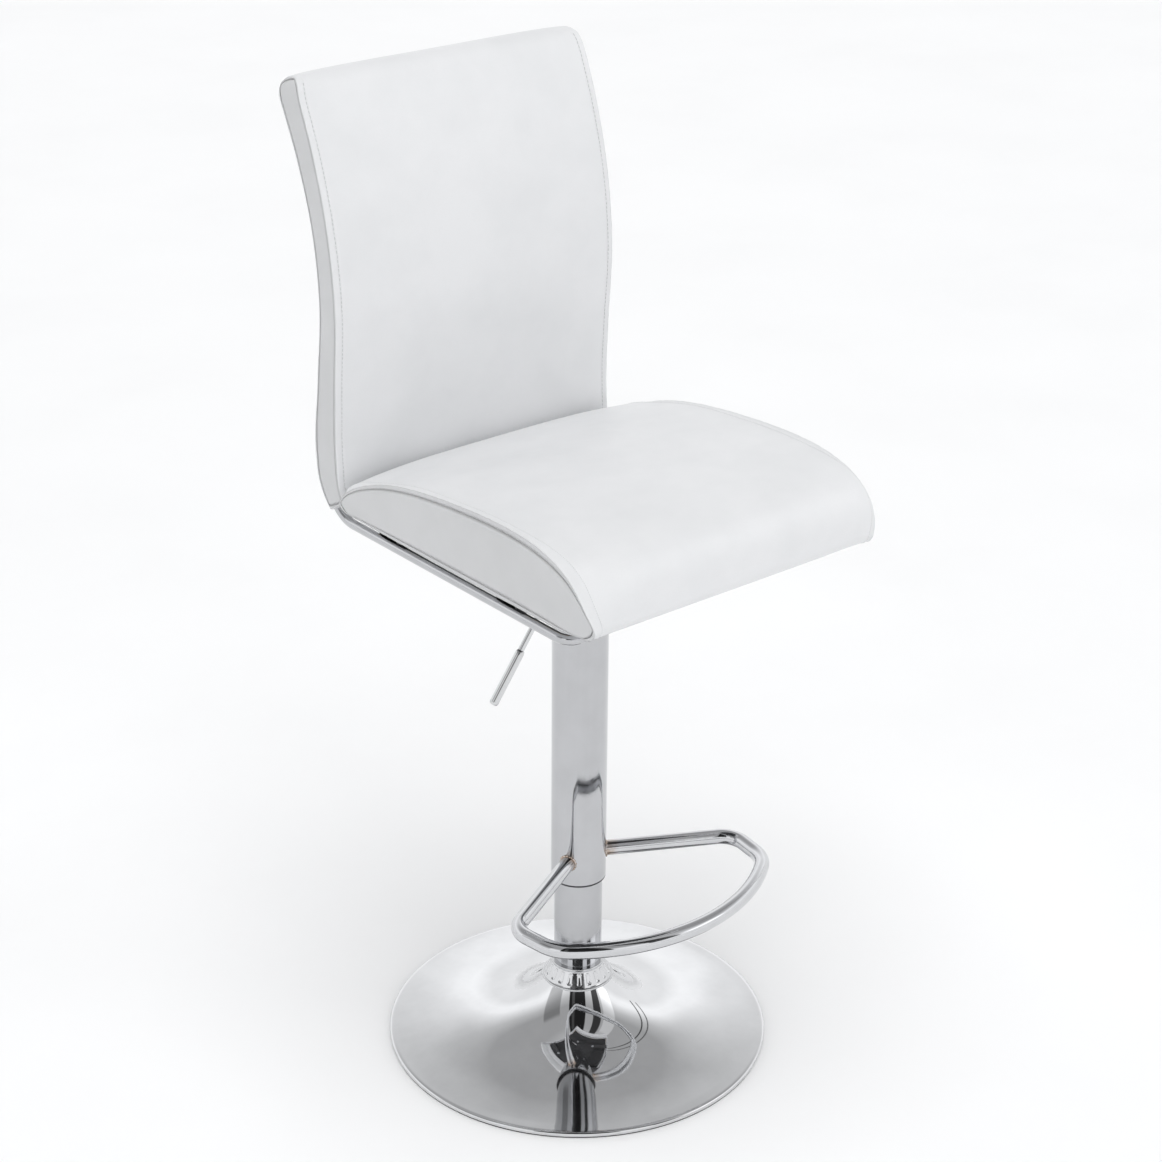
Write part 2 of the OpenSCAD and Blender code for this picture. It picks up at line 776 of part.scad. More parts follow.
module lever_pin_clip() {
    reach = barrel_w / 2 + 0.1 + ear_t;
    color([0.2, 0.2, 0.22]) at_pivot() translate([0, 0, -reach - 1]) ring(pivot_r + 2, pivot_r, 1);
}

// The arm is a bent rod on a pivot barrel, with a flat plate that reaches over the valve pin
module lever_arm() {
    bend_in = lever_bend_r * tan(lever_drop / 2);
    run = lever_bend_out - pivot_out - bend_in;
    tail = lever_tail - bend_in - (grip_len - grip_bore);
    color([0.84, 0.85, 0.86]) difference() {
        union() {
            at_pivot() cylinder(d = barrel_d, h = barrel_w, center = true);
            translate([-pivot_out, -lever_front, lever_z]) rotate([0, 0, 180])
                bent_bar([[run, lever_bend_r, lever_drop, -90], [tail, 0, 0, 0]], lever_r);
            translate([-pivot_out, -lever_front - press_w / 2 + 2, lever_z - lever_r])
                cube([pivot_out + press_w / 2, press_w - 4, press_t]);
            translate([-press_w / 2, -lever_front, lever_z - lever_r])
                cube([press_w, lever_front + press_w / 2, press_t]);
        }
        at_pivot() cylinder(r = pivot_r + fit, h = barrel_w + 2 * past, center = true);
    }
}

module lever_grip() {
    grip_r = grip_d / 2;
    color([0.84, 0.85, 0.86])
        translate([-lever_bend_out, -lever_front, lever_z]) rotate([0, -90 - lever_drop, 0])
            translate([0, 0, lever_tail - grip_len]) difference() {
                union() {
                    cylinder(r = grip_r, h = grip_len - grip_r);
                    translate([0, 0, grip_len - grip_r]) sphere(r = grip_r);
                }
                translate([0, 0, -past]) cylinder(r = lever_r, h = grip_bore + past);
            }
}

// ---- Seat frame ----

rail_steps = [[0, front_bend_r, 90, 180],
    [rear_bend_y + front_rod_y - front_bend_r, rear_bend_r, 90, -90], [upright_len, 0, 0, 0]];

module side_rod() {
    translate([-rail_x + front_bend_r, -front_rod_y, rail_z]) rotate([0, 0, 180])
        bent_bar(rail_steps, rail_r);
}

module both_rods() {
    side_rod();
    mirror([1, 0, 0]) side_rod();
}

module left_rail() {
    color([0.86, 0.87, 0.88]) side_rod();
}

module right_rail() {
    color([0.86, 0.87, 0.88]) mirror([1, 0, 0]) side_rod();
}

module front_rod() {
    color([0.86, 0.87, 0.88]) translate([0, -front_rod_y, rail_z]) rotate([0, 90, 0])
        cylinder(r = rail_r, h = 2 * (rail_x - front_bend_r), center = true);
}

// Rectangular tube with its ends shaped to the side rods
module cross_bar(y) {
    color([0.16, 0.16, 0.17]) difference() {
        translate([-rail_x, y - bar_w / 2, bar_z]) cube([2 * rail_x, bar_w, bar_h]);
        translate([-rail_x - past, y - bar_w / 2 + bar_wall, bar_z + bar_wall])
            cube([2 * rail_x + 2 * past, bar_w - 2 * bar_wall, bar_h - 2 * bar_wall]);
        both_rods();
        at_plate_bolts() translate([0, 0, bar_z - past]) cylinder(r = bolt_d / 2 + play, h = bar_h + 2 * past);
    }
}

module front_cross_bar() {
    cross_bar(-bar_y);
}

module rear_cross_bar() {
    cross_bar(bar_y);
}

// ---- Seat ----

seat_outline = [for (p = concat(smooth(seat_top, 4), seat_heel)) [p[0], p[1] + seat_z]];
board_z = seat_z + leather_t;
board_top = board_z + board_t;
tee_flange_r = 11;
tee_flange_t = 1.5;
tee_r = bolt_d / 2 + 1;

module seat_board_block() {
    translate([-seat_w / 2 + board_margin, seat_board_front, board_z])
        cube([seat_w - 2 * board_margin, seat_board_rear - seat_board_front, board_t]);
}

module seat_window(margin) {
    translate([-rail_x + fold_reach + margin, seat_board_front + fold_w + margin, seat_z - past])
        cube([2 * (rail_x - fold_reach - margin),
            seat_board_rear - seat_board_front - 2 * (fold_w + margin), leather_t + past]);
}

module seat_board() {
    color([0.78, 0.62, 0.42]) difference() {
        seat_board_block();
        at_plate_bolts() translate([0, 0, board_z - past]) cylinder(r = tee_r, h = board_t + 2 * past);
    }
}

module tee_nuts() {
    color([0.7, 0.71, 0.73]) at_plate_bolts() difference() {
        union() {
            translate([0, 0, board_z]) cylinder(r = tee_r, h = board_t);
            translate([0, 0, board_top]) cylinder(r = tee_flange_r, h = tee_flange_t);
        }
        translate([0, 0, board_z - past]) cylinder(r = bolt_d / 2, h = board_t + tee_flange_t + 2 * past);
    }
}

module seat_foam() {
    color([0.9, 0.86, 0.7]) difference() {
        across(seat_w - 2 * leather_t) polygon(inset(seat_outline, leather_t));
        seat_board_block();
        at_plate_bolts() translate([0, 0, board_z]) cylinder(r = tee_flange_r, h = board_t + tee_flange_t);
    }
}

module seat_cover() {
    color([0.93, 0.93, 0.94]) difference() {
        across(seat_w) polygon(seat_outline);
        across(seat_w - 2 * leather_t) polygon(inset(seat_outline, leather_t));
        seat_window(0);
    }
}

module seat_dust_cover() {
    color([0.1, 0.1, 0.1]) difference() {
        intersection() {
            seat_window(play);
            translate([0, 0, board_z - dust_t + 250]) cube([500, 500, 500], center = true);
        }
        at_plate_bolts() translate([0, 0, seat_z - past]) cylinder(r = bolt_d / 2 + play, h = leather_t + 2 * past);
    }
}

// ---- Back ----

spine = [for (p = smooth(back_spine, spine_steps)) [p[0], p[1] + seat_z, p[2]]];
spine_last = len(spine) - 1;
// Point beside the spine: half the thickness less d, on the front (side 1) or rear (side -1)
function beside(i, side, d) = flat2(spine[i]) + side * (spine[i][2] - d) * unit(normal_at(spine, i));
function face(side, d, from, to) = [for (i = [from:to]) beside(i, side, d)];
top_angle = atan2(normal_at(spine, spine_last)[1], normal_at(spine, spine_last)[0]);
// Round top edge, from the front over to the rear
function top_edge(d) = [for (k = [1:7]) flat2(spine[spine_last]) + (spine[spine_last][2] - d)
    * [cos(top_angle - k * 22.5), sin(top_angle - k * 22.5)]];
// Side outline of the back, smaller all round by d
function back_outline(d) = let (lift = d * dir_at(spine, 0)) concat(
    [beside(0, 1, d) + lift], face(1, d, 1, spine_last), top_edge(d),
    reversed(face(-1, d, 1, spine_last)), [beside(0, -1, d) + lift]);
board_front_d = leather_t + back_foam_t;
board_rear_d = board_front_d + back_board_t;
// The strip of the side outline that the curved board fills
board_strip = concat(face(1, board_front_d, back_board_from, back_board_to),
    reversed(face(1, board_rear_d, back_board_from, back_board_to)));
// The strip behind the board, up to the leather
rear_strip = concat(face(1, board_rear_d, back_board_from, back_board_to),
    reversed(face(-1, leather_t, back_board_from, back_board_to)));

module board_body() {
    across(back_w - 2 * back_board_margin) polygon(board_strip);
}

module at_clamp_screws() {
    for (s = [-1, 1], z = clamp_zs)
        translate([s * (rail_x - clamp_w / 2), rear_bend_y + rear_bend_r, z]) rotate([90, 0, 0]) children();
}

module clamp_screw_body() {
    at_clamp_screws() union() {
        translate([0, 0, -clamp_rear]) cylinder(r = clamp_screw_d / 2, h = clamp_rear + 12);
        translate([0, 0, -clamp_rear - 2.4]) cylinder(r = clamp_screw_d - 0.6, h = 2.4);
    }
}

module clamp_body() {
    rod_y = rear_bend_y + rear_bend_r;
    for (s = [-1, 1], z = clamp_zs)
        translate([s * (rail_x - clamp_w / 2 + clamp_past) - clamp_w / 2, rod_y - 20, z - clamp_h / 2])
            cube([clamp_w, 20 + clamp_rear, clamp_h]);
}

module back_board() {
    color([0.78, 0.62, 0.42]) difference() {
        board_body();
        clamp_screw_body();
    }
}

module rod_clamps() {
    color([0.3, 0.31, 0.32]) difference() {
        intersection() {
            clamp_body();
            across(back_w) polygon(rear_strip);
        }
        both_rods();
        clamp_screw_body();
    }
}

module clamp_screws() {
    color([0.6, 0.61, 0.63]) clamp_screw_body();
}

module back_front_foam() {
    color([0.9, 0.86, 0.7]) difference() {
        across(back_w - 2 * leather_t) polygon(back_outline(leather_t));
        across(back_w) polygon(rear_strip);
        board_body();
        both_rods();
    }
}

module back_rear_foam() {
    color([0.9, 0.86, 0.7]) difference() {
        across(back_w - 2 * leather_t) polygon(rear_strip);
        both_rods();
        clamp_body();
        clamp_screw_body();
    }
}

module back_cover() {
    color([0.93, 0.93, 0.94]) difference() {
        across(back_w) polygon(back_outline(0));
        across(back_w - 2 * leather_t) polygon(back_outline(leather_t));
        both_rods();
    }
}

base_cover();
floor_ring();
base_plate();
ballast_disc();
column_foot();
foot_bolts();
foot_nuts();
base_collar();
column_tube();
column_bush();
lower_race();
ball_cage();
bearing_balls();
upper_race();
rubber_buffer();
rod_washer();
rod_clip();
piston_rod();
piston();
piston_seal();
gas_cylinder();
cylinder_guide();
valve_pin();
cone_socket();
mounting_plate();
sleeve_tube();
sleeve_spacer();
sleeve_guide_ring();
footrest_ring();
lever_bracket();
lever_pivot_pin();
lever_pin_clip();
lever_arm();
lever_grip();
left_rail();
right_rail();
front_rod();
front_cross_bar();
rear_cross_bar();
plate_bolts();
plate_washers();
tee_nuts();
seat_board();
seat_foam();
seat_cover();
seat_dust_cover();
back_board();
back_front_foam();
back_rear_foam();
back_cover();
rod_clamps();
clamp_screws();
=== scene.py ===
"""Looks of the swivel bar stool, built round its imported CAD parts.

Metres and +Z up, as the CAD has them. The sitter faces -Y, and the release lever is on the -X side.
Lengths in this file are in millimetres, and `add_mesh` turns them into metres.
"""

import json
import math

import bpy
import numpy as np
from mathutils import Matrix, Vector


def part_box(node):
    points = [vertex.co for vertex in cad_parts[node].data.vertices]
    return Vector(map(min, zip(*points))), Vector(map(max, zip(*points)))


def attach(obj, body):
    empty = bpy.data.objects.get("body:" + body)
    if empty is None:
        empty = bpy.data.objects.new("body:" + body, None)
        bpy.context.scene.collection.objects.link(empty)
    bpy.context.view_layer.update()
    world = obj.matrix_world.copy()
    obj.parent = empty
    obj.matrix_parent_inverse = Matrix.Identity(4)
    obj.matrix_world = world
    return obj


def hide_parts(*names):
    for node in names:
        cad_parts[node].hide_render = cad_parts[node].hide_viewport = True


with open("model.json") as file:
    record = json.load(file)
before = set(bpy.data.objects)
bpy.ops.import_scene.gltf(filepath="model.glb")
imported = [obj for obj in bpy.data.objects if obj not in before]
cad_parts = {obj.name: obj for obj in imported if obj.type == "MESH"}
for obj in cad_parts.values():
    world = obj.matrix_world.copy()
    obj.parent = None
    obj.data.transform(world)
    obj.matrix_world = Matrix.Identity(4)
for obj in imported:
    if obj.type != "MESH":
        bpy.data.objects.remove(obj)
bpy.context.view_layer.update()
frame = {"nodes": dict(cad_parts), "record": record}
MM = 0.001


# ---- Meshes ----


def put(name, data):
    """A new object in the scene."""
    obj = bpy.data.objects.new(name, data)
    bpy.context.scene.collection.objects.link(obj)
    return obj


def add_mesh(name, points, faces, material, body=None, sharp=None):
    """A smooth-shaded mesh object from points in millimetres. Edges over `sharp` degrees stay sharp."""
    mesh = bpy.data.meshes.new(name)
    mesh.from_pydata((np.asarray(points, float) * MM).tolist(), [], faces)
    mesh.update()
    mesh.polygons.foreach_set("use_smooth", [True] * len(mesh.polygons))
    if sharp:
        mesh.set_sharp_from_angle(angle=math.radians(sharp))
    mesh.materials.append(material)
    obj = put(name, mesh)
    if body:
        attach(obj, body)
    return obj


def grid_faces(rows, columns, start=0, close_rows=False, close_columns=False, flip=False):
    """Quads over a grid of points stored row by row."""
    faces = []
    for i in range(rows if close_rows else rows - 1):
        for j in range(columns if close_columns else columns - 1):
            a, b = i * columns + j, i * columns + (j + 1) % columns
            c = (i + 1) % rows * columns
            quad = (a, b, c + (j + 1) % columns, c + j)
            faces.append(tuple(start + k for k in (reversed(quad) if flip else quad)))
    return faces


def id_quads(ids, flip):
    """Quads between neighbours in a grid of point numbers."""
    corners = np.stack([ids[:-1, :-1], ids[1:, :-1], ids[1:, 1:], ids[:-1, 1:]], -1).reshape(-1, 4)
    return [tuple(quad) for quad in (corners[:, ::-1] if flip else corners).tolist()]


def rim_of(n, k):
    """Places once round the rim of a grid of n by k cells."""
    near, end = [(i, 0) for i in range(n)], [(n, j) for j in range(k)]
    return near + end + [(i, k) for i in range(n, 0, -1)] + [(0, j) for j in range(k, 0, -1)]


def unit_rows(v):
    return v / np.maximum(np.linalg.norm(v, axis=-1, keepdims=True), 1e-9)


def rounded(corners, radius, steps=5, hold=0.3):
    """A closed outline with each corner rounded. A corner is (a, b) or (a, b, its own radius)."""
    line = []
    for i, corner in enumerate(corners):
        p = np.array(corner[:2], float)
        before = np.array(corners[i - 1][:2], float) - p
        after = np.array(corners[(i + 1) % len(corners)][:2], float) - p
        r = corner[2] if len(corner) > 2 else radius
        if r <= 0:
            line.append(p)
            continue
        u, v = before / np.linalg.norm(before), after / np.linalg.norm(after)
        half = math.acos(max(-1.0, min(1.0, float(u @ v)))) / 2
        reach = r / math.tan(half)
        line.append(p + u * (reach + hold * r))
        for k in range(steps + 1):
            t = k / steps
            a, b = p + u * reach * (1 - t) ** 2, v * reach * t**2
            line.append(a + b)
        line.append(p + v * (reach + hold * r))
    return np.array(line)


def lathe(name, outline, material, body, turns=128, shape=None):
    """A solid of revolution from a closed outline of (radius, height). `shape` may move its points."""
    angles = np.arange(turns) * 2 * math.pi / turns
    r, z = outline[:, 0][None, :], outline[:, 1][None, :]
    points = np.stack([r * np.cos(angles)[:, None], r * np.sin(angles)[:, None], z + 0 * angles[:, None]], -1)
    if shape:
        points = shape(points, angles, outline)
    after = np.roll(outline, -1, axis=0)
    twice_area = np.sum(outline[:, 0] * after[:, 1] - after[:, 0] * outline[:, 1])
    faces = grid_faces(turns, len(outline), close_rows=True, close_columns=True, flip=twice_area > 0)
    return add_mesh(name, points.reshape(-1, 3), faces, material, body, sharp=50)


def walk(start, heading, steps, spacing=2.5):
    """Points along straight lengths and arcs. A step is (length, bend radius, turn in degrees)."""
    x, y, h = start[0], start[1], heading
    points = [(x, y)]
    for length, radius, turn in steps:
        if length:
            pieces = max(1, int(length / (3 * spacing)))
            for _ in range(pieces):
                x += length / pieces * math.cos(math.radians(h))
                y += length / pieces * math.sin(math.radians(h))
                points.append((x, y))
        if turn:
            pieces = max(6, int(math.radians(abs(turn)) * radius / spacing))
            side = math.copysign(90, turn)
            cx = x + radius * math.cos(math.radians(h + side))
            cy = y + radius * math.sin(math.radians(h + side))
            for _ in range(pieces):
                h += turn / pieces
                x = cx + radius * math.cos(math.radians(h - side))
                y = cy + radius * math.sin(math.radians(h - side))
                points.append((x, y))
    return points


def sweep(name, path, radii, material, body, sides=36, closed=False, dome=0.0):
    """A round bar along a path. `radii` is one radius or one for each point, and `dome` rounds the ends."""
    path = np.array(path, float)
    radii = np.full(len(path), radii, float) if np.isscalar(radii) else np.array(radii, float)
    if dome:
        first, last = path[0] - path[1], path[-1] - path[-2]
        first, last = first / np.linalg.norm(first), last / np.linalg.norm(last)
        turns = np.radians([30, 55, 75])
        caps = [(path[0] - first * dome * (1 - math.sin(a)), math.cos(a)) for a in turns[::-1]]
        ends = [(path[-1] - last * dome * (1 - math.sin(a)), math.cos(a)) for a in turns]
        keep = slice(1, -1)
        path = np.array([c[0] for c in caps] + [path[0] - first * dome] + list(path[keep])
                        + [path[-1] - last * dome] + [c[0] for c in ends])
        radii = np.concatenate([[c[1] * radii[0] for c in caps], [radii[0]], radii[keep],
                                [radii[-1]], [c[1] * radii[-1] for c in ends]])
    if closed:
        ahead = np.roll(path, -1, 0) - path
        back = np.roll(ahead, 1, 0)
    else:
        ahead = np.vstack([np.diff(path, axis=0), path[-1:] - path[-2:-1]])
        back = np.vstack([ahead[:1], ahead[:-1]])
    tangent = unit_rows(unit_rows(ahead) + unit_rows(back))
    seed = np.array([0, 0, 1.0]) if abs(tangent[0][2]) < 0.9 else np.array([1.0, 0, 0])
    normals = [unit_rows(seed - tangent[0] * (seed @ tangent[0]))]
    for t in tangent[1:]:
        n = normals[-1] - t * (normals[-1] @ t)
        normals.append(unit_rows(n))
    normals = np.array(normals)
    across = np.cross(tangent, normals)
    angles = np.arange(sides) * 2 * math.pi / sides
    rings = (path[:, None] + radii[:, None, None] * (np.cos(angles)[None, :, None] * normals[:, None]
             + np.sin(angles)[None, :, None] * across[:, None]))
    faces = grid_faces(len(path), sides, close_rows=closed, close_columns=True, flip=True)
    if not closed:
        last = (len(path) - 1) * sides
        faces += [tuple(range(sides)), tuple(last + k for k in reversed(range(sides)))]
    return add_mesh(name, rings.reshape(-1, 3), faces, material, body, sharp=50)


# ---- Materials ----


class Shader:
    """A node material on a Principled shader, with helpers for its noise, colour and bump."""

    def __init__(self, name, metallic=0.0, **sockets):
        self.material = bpy.data.materials.new(name)
        self.material.use_nodes = True
        self.tree = self.material.node_tree
        self.shader = self.tree.nodes["Principled BSDF"]
        self.shader.inputs["Metallic"].default_value = metallic
        for key, value in sockets.items():
            self.shader.inputs[key.replace("_", " ").title().replace("Ior", "IOR")].default_value = value
        self.place = self.node("ShaderNodeTexCoord").outputs["Object"]
        self.height = None

    def node(self, kind, **values):
        node = self.tree.nodes.new(kind)
        for key, value in values.items():
            if hasattr(node, key):
                setattr(node, key, value)
            else:
                node.inputs[key].default_value = value
        return node

    def link(self, a, b):
        self.tree.links.new(a, b)

    def noise(self, size, detail=4.0, stretch=(1, 1, 1), roughness=0.55):
        """Noise whose features are about `size` millimetres across."""
        scaled = self.node("ShaderNodeMapping")
        scaled.inputs["Scale"].default_value = stretch
        self.link(self.place, scaled.inputs["Vector"])
        node = self.node("ShaderNodeTexNoise", Scale=1000 / size, Detail=detail, Roughness=roughness)
        self.link(scaled.outputs["Vector"], node.inputs["Vector"])
        return node.outputs["Fac"]

    def cells(self, size, randomness=1.0):
        node = self.node("ShaderNodeTexVoronoi", Scale=1000 / size, Randomness=randomness)
        self.link(self.place, node.inputs["Vector"])
        return node.outputs["Distance"]

    def ramp(self, value, low, high, from_low=0.35, from_high=0.65):
        node = self.node("ShaderNodeMapRange")
        self.link(value, node.inputs["Value"])
        ends = {"From Min": from_low, "From Max": from_high, "To Min": low, "To Max": high}
        for key, number in ends.items():
            node.inputs[key].default_value = number
        return node.outputs["Result"]

    def mixed(self, value, first, second):
        """A blend of two colours. Inputs 6 and 7 of the node take colours, and output 2 gives one."""
        node = self.node("ShaderNodeMix", data_type="RGBA")
        self.link(value, node.inputs[0])
        for index, colour in ((6, first), (7, second)):
            if isinstance(colour, bpy.types.NodeSocket):
                self.link(colour, node.inputs[index])
            else:
                node.inputs[index].default_value = (*colour, 1)
        return node.outputs[2]

    def colour(self, socket):
        self.link(socket, self.shader.inputs["Base Color"])

    def roughness(self, socket):
        self.link(socket, self.shader.inputs["Roughness"])

    def bump(self, value, depth, strength=1.0):
        """Adds relief of about `depth` millimetres."""
        node = self.node("ShaderNodeBump", Strength=strength, Distance=depth * MM)
        self.link(value, node.inputs["Height"])
        if self.height is not None:
            self.link(self.height, node.inputs["Normal"])
        self.height = node.outputs["Normal"]
        self.link(self.height, self.shader.inputs["Normal"])


def simple(name, light, dark, patch, rough, metallic=0.0, grain=None, stretch=(1, 1, 1), **sockets):
    """A material with two tones in patches, uneven gloss and a fine grain of (size, depth) in mm."""
    s = Shader(name, metallic, **sockets)
    s.colour(s.mixed(s.ramp(s.noise(patch, stretch=stretch), 0, 1), dark, light))
    s.roughness(s.ramp(s.noise(patch * 0.6, stretch=stretch), rough[0], rough[1]))
    if grain:
        s.bump(s.noise(grain[0], 3.0, stretch), grain[1])
    return s.material


def make_leather(name, light, dark, rough=(0.36, 0.46)):
    """Smooth coated leather: a fine pebble grain with pores, faint cloudiness and a soft sheen."""
    s = Shader(name, specular_ior_level=0.45)
    tone = s.mixed(s.ramp(s.noise(70, 3.0), 0, 1), dark, light)
    fine = s.ramp(s.cells(1.3), 0.0, 1.0, 0.0, 0.9)
    s.colour(s.mixed(s.ramp(fine, 0, 0.10, 0.0, 1.0), tone, tuple(0.86 * c for c in dark)))
    s.roughness(s.ramp(s.noise(24), *rough))
    s.bump(s.noise(38, 2.0), 0.22, 0.5)
    s.bump(fine, -0.035, 0.55)
    s.bump(s.noise(0.55, 4.0), 0.02, 0.5)
    return s.material


def make_chrome(name, tint=(0.68, 0.685, 0.695), rough=(0.03, 0.07), ripple=0.012):
    """Polished chrome plate with faint polishing haze and a slightly uneven surface under it."""
    s = Shader(name, metallic=1.0)
    dim = tuple(0.93 * c for c in tint)
    s.colour(s.mixed(s.ramp(s.noise(45), 0, 1), dim, tint))
    s.roughness(s.ramp(s.noise(9, 6.0), *rough))
    s.bump(s.noise(22, 2.0), ripple, 0.6)
    return s.material


leather = make_leather("white_leather_look", (0.76, 0.765, 0.775), (0.725, 0.732, 0.742))
# Darker copy of the same white leather for the cushions' side panels: painted shade for the dimmer light that
# falls on the sides
painted_shade_side_leather = make_leather("painted_shade_side_leather_look", (0.61, 0.615, 0.622), (0.578, 0.584, 0.59))
chrome = make_chrome("chrome_look")
base_chrome = make_chrome("base_chrome_look", (0.73, 0.735, 0.745), (0.025, 0.05), 0.02)
tube_chrome = make_chrome("tube_chrome_look", (0.545, 0.55, 0.565), (0.05, 0.10), 0.02)
plastic = simple("black_plastic_look", (0.035, 0.035, 0.038), (0.02, 0.02, 0.022), 14, (0.38, 0.52),
                 grain=(0.8, 0.02))
rubber = simple("rubber_look", (0.05, 0.05, 0.05), (0.025, 0.025, 0.026), 10, (0.7, 0.85), grain=(0.6, 0.04))
zinc = simple("zinc_steel_look", (0.66, 0.67, 0.68), (0.48, 0.49, 0.52), 3, (0.25, 0.42), 1.0,
              grain=(0.7, 0.01))
ground = simple("ground_steel_look", (0.72, 0.73, 0.74), (0.62, 0.63, 0.64), 6, (0.16, 0.28), 1.0,
                grain=(0.3, 0.005), stretch=(1, 1, 6))
raw = simple("raw_steel_look", (0.42, 0.43, 0.44), (0.24, 0.25, 0.26), 16, (0.42, 0.62), 1.0,
             grain=(1.2, 0.03))
paint = simple("black_paint_look", (0.045, 0.045, 0.048), (0.028, 0.028, 0.03), 18, (0.32, 0.45),
               grain=(0.9, 0.03), coat_weight=0.2)
brass = simple("brass_look", (0.74, 0.58, 0.28), (0.6, 0.45, 0.2), 4, (0.28, 0.42), 1.0, grain=(0.5, 0.01))
foam = simple("foam_look", (0.86, 0.81, 0.63), (0.76, 0.7, 0.5), 3, (0.85, 0.95), grain=(0.9, 0.25))


def make_plywood():
    s = Shader("plywood_look")
    streaks = s.noise(9, 6.0, (1, 0.06, 1))
    s.colour(s.mixed(s.ramp(streaks, 0, 1), (0.55, 0.38, 0.21), (0.74, 0.57, 0.36)))
    s.roughness(s.ramp(streaks, 0.5, 0.65))
    s.bump(streaks, 0.08)
    return s.material


def make_cloth():
    """Black non-woven cloth, with the dimples of its spot bonding."""
    s = Shader("dust_cloth_look", sheen_weight=0.3)
    fibres = s.noise(1.6, 6.0, (1, 0.35, 1))
    s.colour(s.mixed(s.ramp(fibres, 0, 1), (0.02, 0.02, 0.021), (0.055, 0.055, 0.058)))
    s.roughness(s.ramp(fibres, 0.78, 0.95))
    s.bump(s.cells(2.2, randomness=0.15), 0.18)
    s.bump(fibres, 0.08)
    return s.material


def make_thread_with_painted_shade():
    s = Shader("thread_with_painted_shade_look", sheen_weight=0.2)
    twist = s.noise(0.8, 3.0)
    # A light grey thread made greyer still: the darker tone is painted shade, standing in for the shadow in
    # the needle holes and the stitch channel
    s.colour(s.mixed(s.ramp(twist, 0, 1), (0.50, 0.505, 0.51), (0.66, 0.665, 0.67)))
    s.roughness(s.ramp(twist, 0.5, 0.7))
    s.bump(twist, 0.05)
    return s.material


def make_heat_tint():
    """Chrome that turns straw brown towards the weld at the sleeve."""
    s = Shader("welded_chrome_look", metallic=1.0)
    split = s.node("ShaderNodeSeparateXYZ")
    s.link(s.place, split.inputs["Vector"])
    flat = s.node("ShaderNodeCombineXYZ")
    s.link(split.outputs["X"], flat.inputs["X"])
    s.link(split.outputs["Y"], flat.inputs["Y"])
    reach = s.node("ShaderNodeVectorMath", operation="LENGTH")
    s.link(flat.outputs["Vector"], reach.inputs[0])
    burn = s.ramp(reach.outputs["Value"], 1.0, 0.0, 0.0285, 0.043)
    patchy = s.node("ShaderNodeMath", operation="MULTIPLY")
    s.link(burn, patchy.inputs[0])
    s.link(s.ramp(s.noise(6), 0.35, 1.0), patchy.inputs[1])
    clean = s.mixed(s.ramp(s.noise(45), 0, 1), (0.60, 0.605, 0.62), (0.65, 0.655, 0.67))
    s.colour(s.mixed(patchy.outputs["Value"], clean, (0.40, 0.27, 0.17)))
    s.roughness(s.ramp(s.noise(9, 6.0), 0.05, 0.10))
    s.bump(s.noise(22, 2.0), 0.02, 0.6)
    return s.material


plywood, cloth, thread, welded_chrome = make_plywood(), make_cloth(), make_thread_with_painted_shade(), make_heat_tint()

LOOKS = {
    "chrome": chrome, "chrome_tube": tube_chrome, "white_leather": leather, "black_plastic": plastic,
    "rubber": rubber, "zinc_steel": zinc, "ground_steel": ground, "raw_steel": raw, "black_paint": paint,
    "brass_cage": brass, "plywood": plywood, "foam": foam, "dust_cloth": cloth,
}
slot_of = {s["node"]: s["material_slot"] for s in frame["record"]["subparts"]}
for node_name, node_object in frame["nodes"].items():
    for k in range(len(node_object.material_slots)):
        node_object.material_slots[k].material = LOOKS[slot_of[node_name]]


def stand_in(piece, slot, *nodes):
    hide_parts(*nodes)
    return piece


# ---- Base and column ----

BASE_R, RIM_H, NECK_Z, NECK_R, FLARE = 200.0, 6.3, 65.0, 35.0, 41.0


def cover_z(r):
    share = lambda q: np.exp(-(q - NECK_R) / FLARE)
    return RIM_H + (NECK_Z - RIM_H) * (share(r) - share(BASE_R)) / (1 - share(BASE_R))


def make_base():
    wall = 1.5
    r = NECK_R + np.linspace(0, 1, 110) ** 1.25 * (BASE_R - 2.6 - NECK_R)
    top = np.stack([r, cover_z(r)], 1)
    turn = np.radians(np.arange(82, -1, -8))
    rim = np.stack([BASE_R - 2.5 + 2.5 * np.cos(turn), RIM_H - 2.5 + 2.5 * np.sin(turn)], 1)
    hem = np.array([[BASE_R, 2.6], [BASE_R - 0.2, 1.7], [BASE_R - 0.8, 1.25], [BASE_R - 3, 1.2],
                    [BASE_R - 13, 1.2], [BASE_R - 13, 2.7], [BASE_R - 3.4, 2.7]])
    slope = np.gradient(top[:, 1], top[:, 0])
    normal = np.stack([-slope, np.ones_like(slope)], 1) / np.sqrt(1 + slope**2)[:, None]
    under = (top - wall * normal)[::-4]
    under = under[under[:, 0] < BASE_R - 6]
    outline = np.vstack([top, rim, hem, under])

    def pressed(points, angles, line):
        """The slight unevenness of a pressed and polished disc, which bends its reflections."""
        r = line[:, 0][None, :]
        a = angles[:, None]
        share = np.clip((r - NECK_R - 1) / 14, 0, 1) * np.clip((BASE_R - 4 - r) / 10, 0, 1)
        # (height, waves round the disc, length of the waves outwards, phase)
        ripples = ((0.30, 2, 19, 0.6), (0.22, 5, -13, 0), (0.20, 3, 8.5, 2), (0.13, 9, 23, 1))
        wave = 0
        for height, lobes, length, phase in ripples:
            wave = wave + height * np.sin(lobes * a + r / length + phase)
        points[..., 2] += 0.42 * share * wave * (0.35 + 0.65 * np.exp(-(r - NECK_R) / 60))
        return points

    cover = lathe("base_disc", outline, base_chrome, "base", turns=288, shape=pressed)
    stand_in(cover, "chrome", "base_cover")


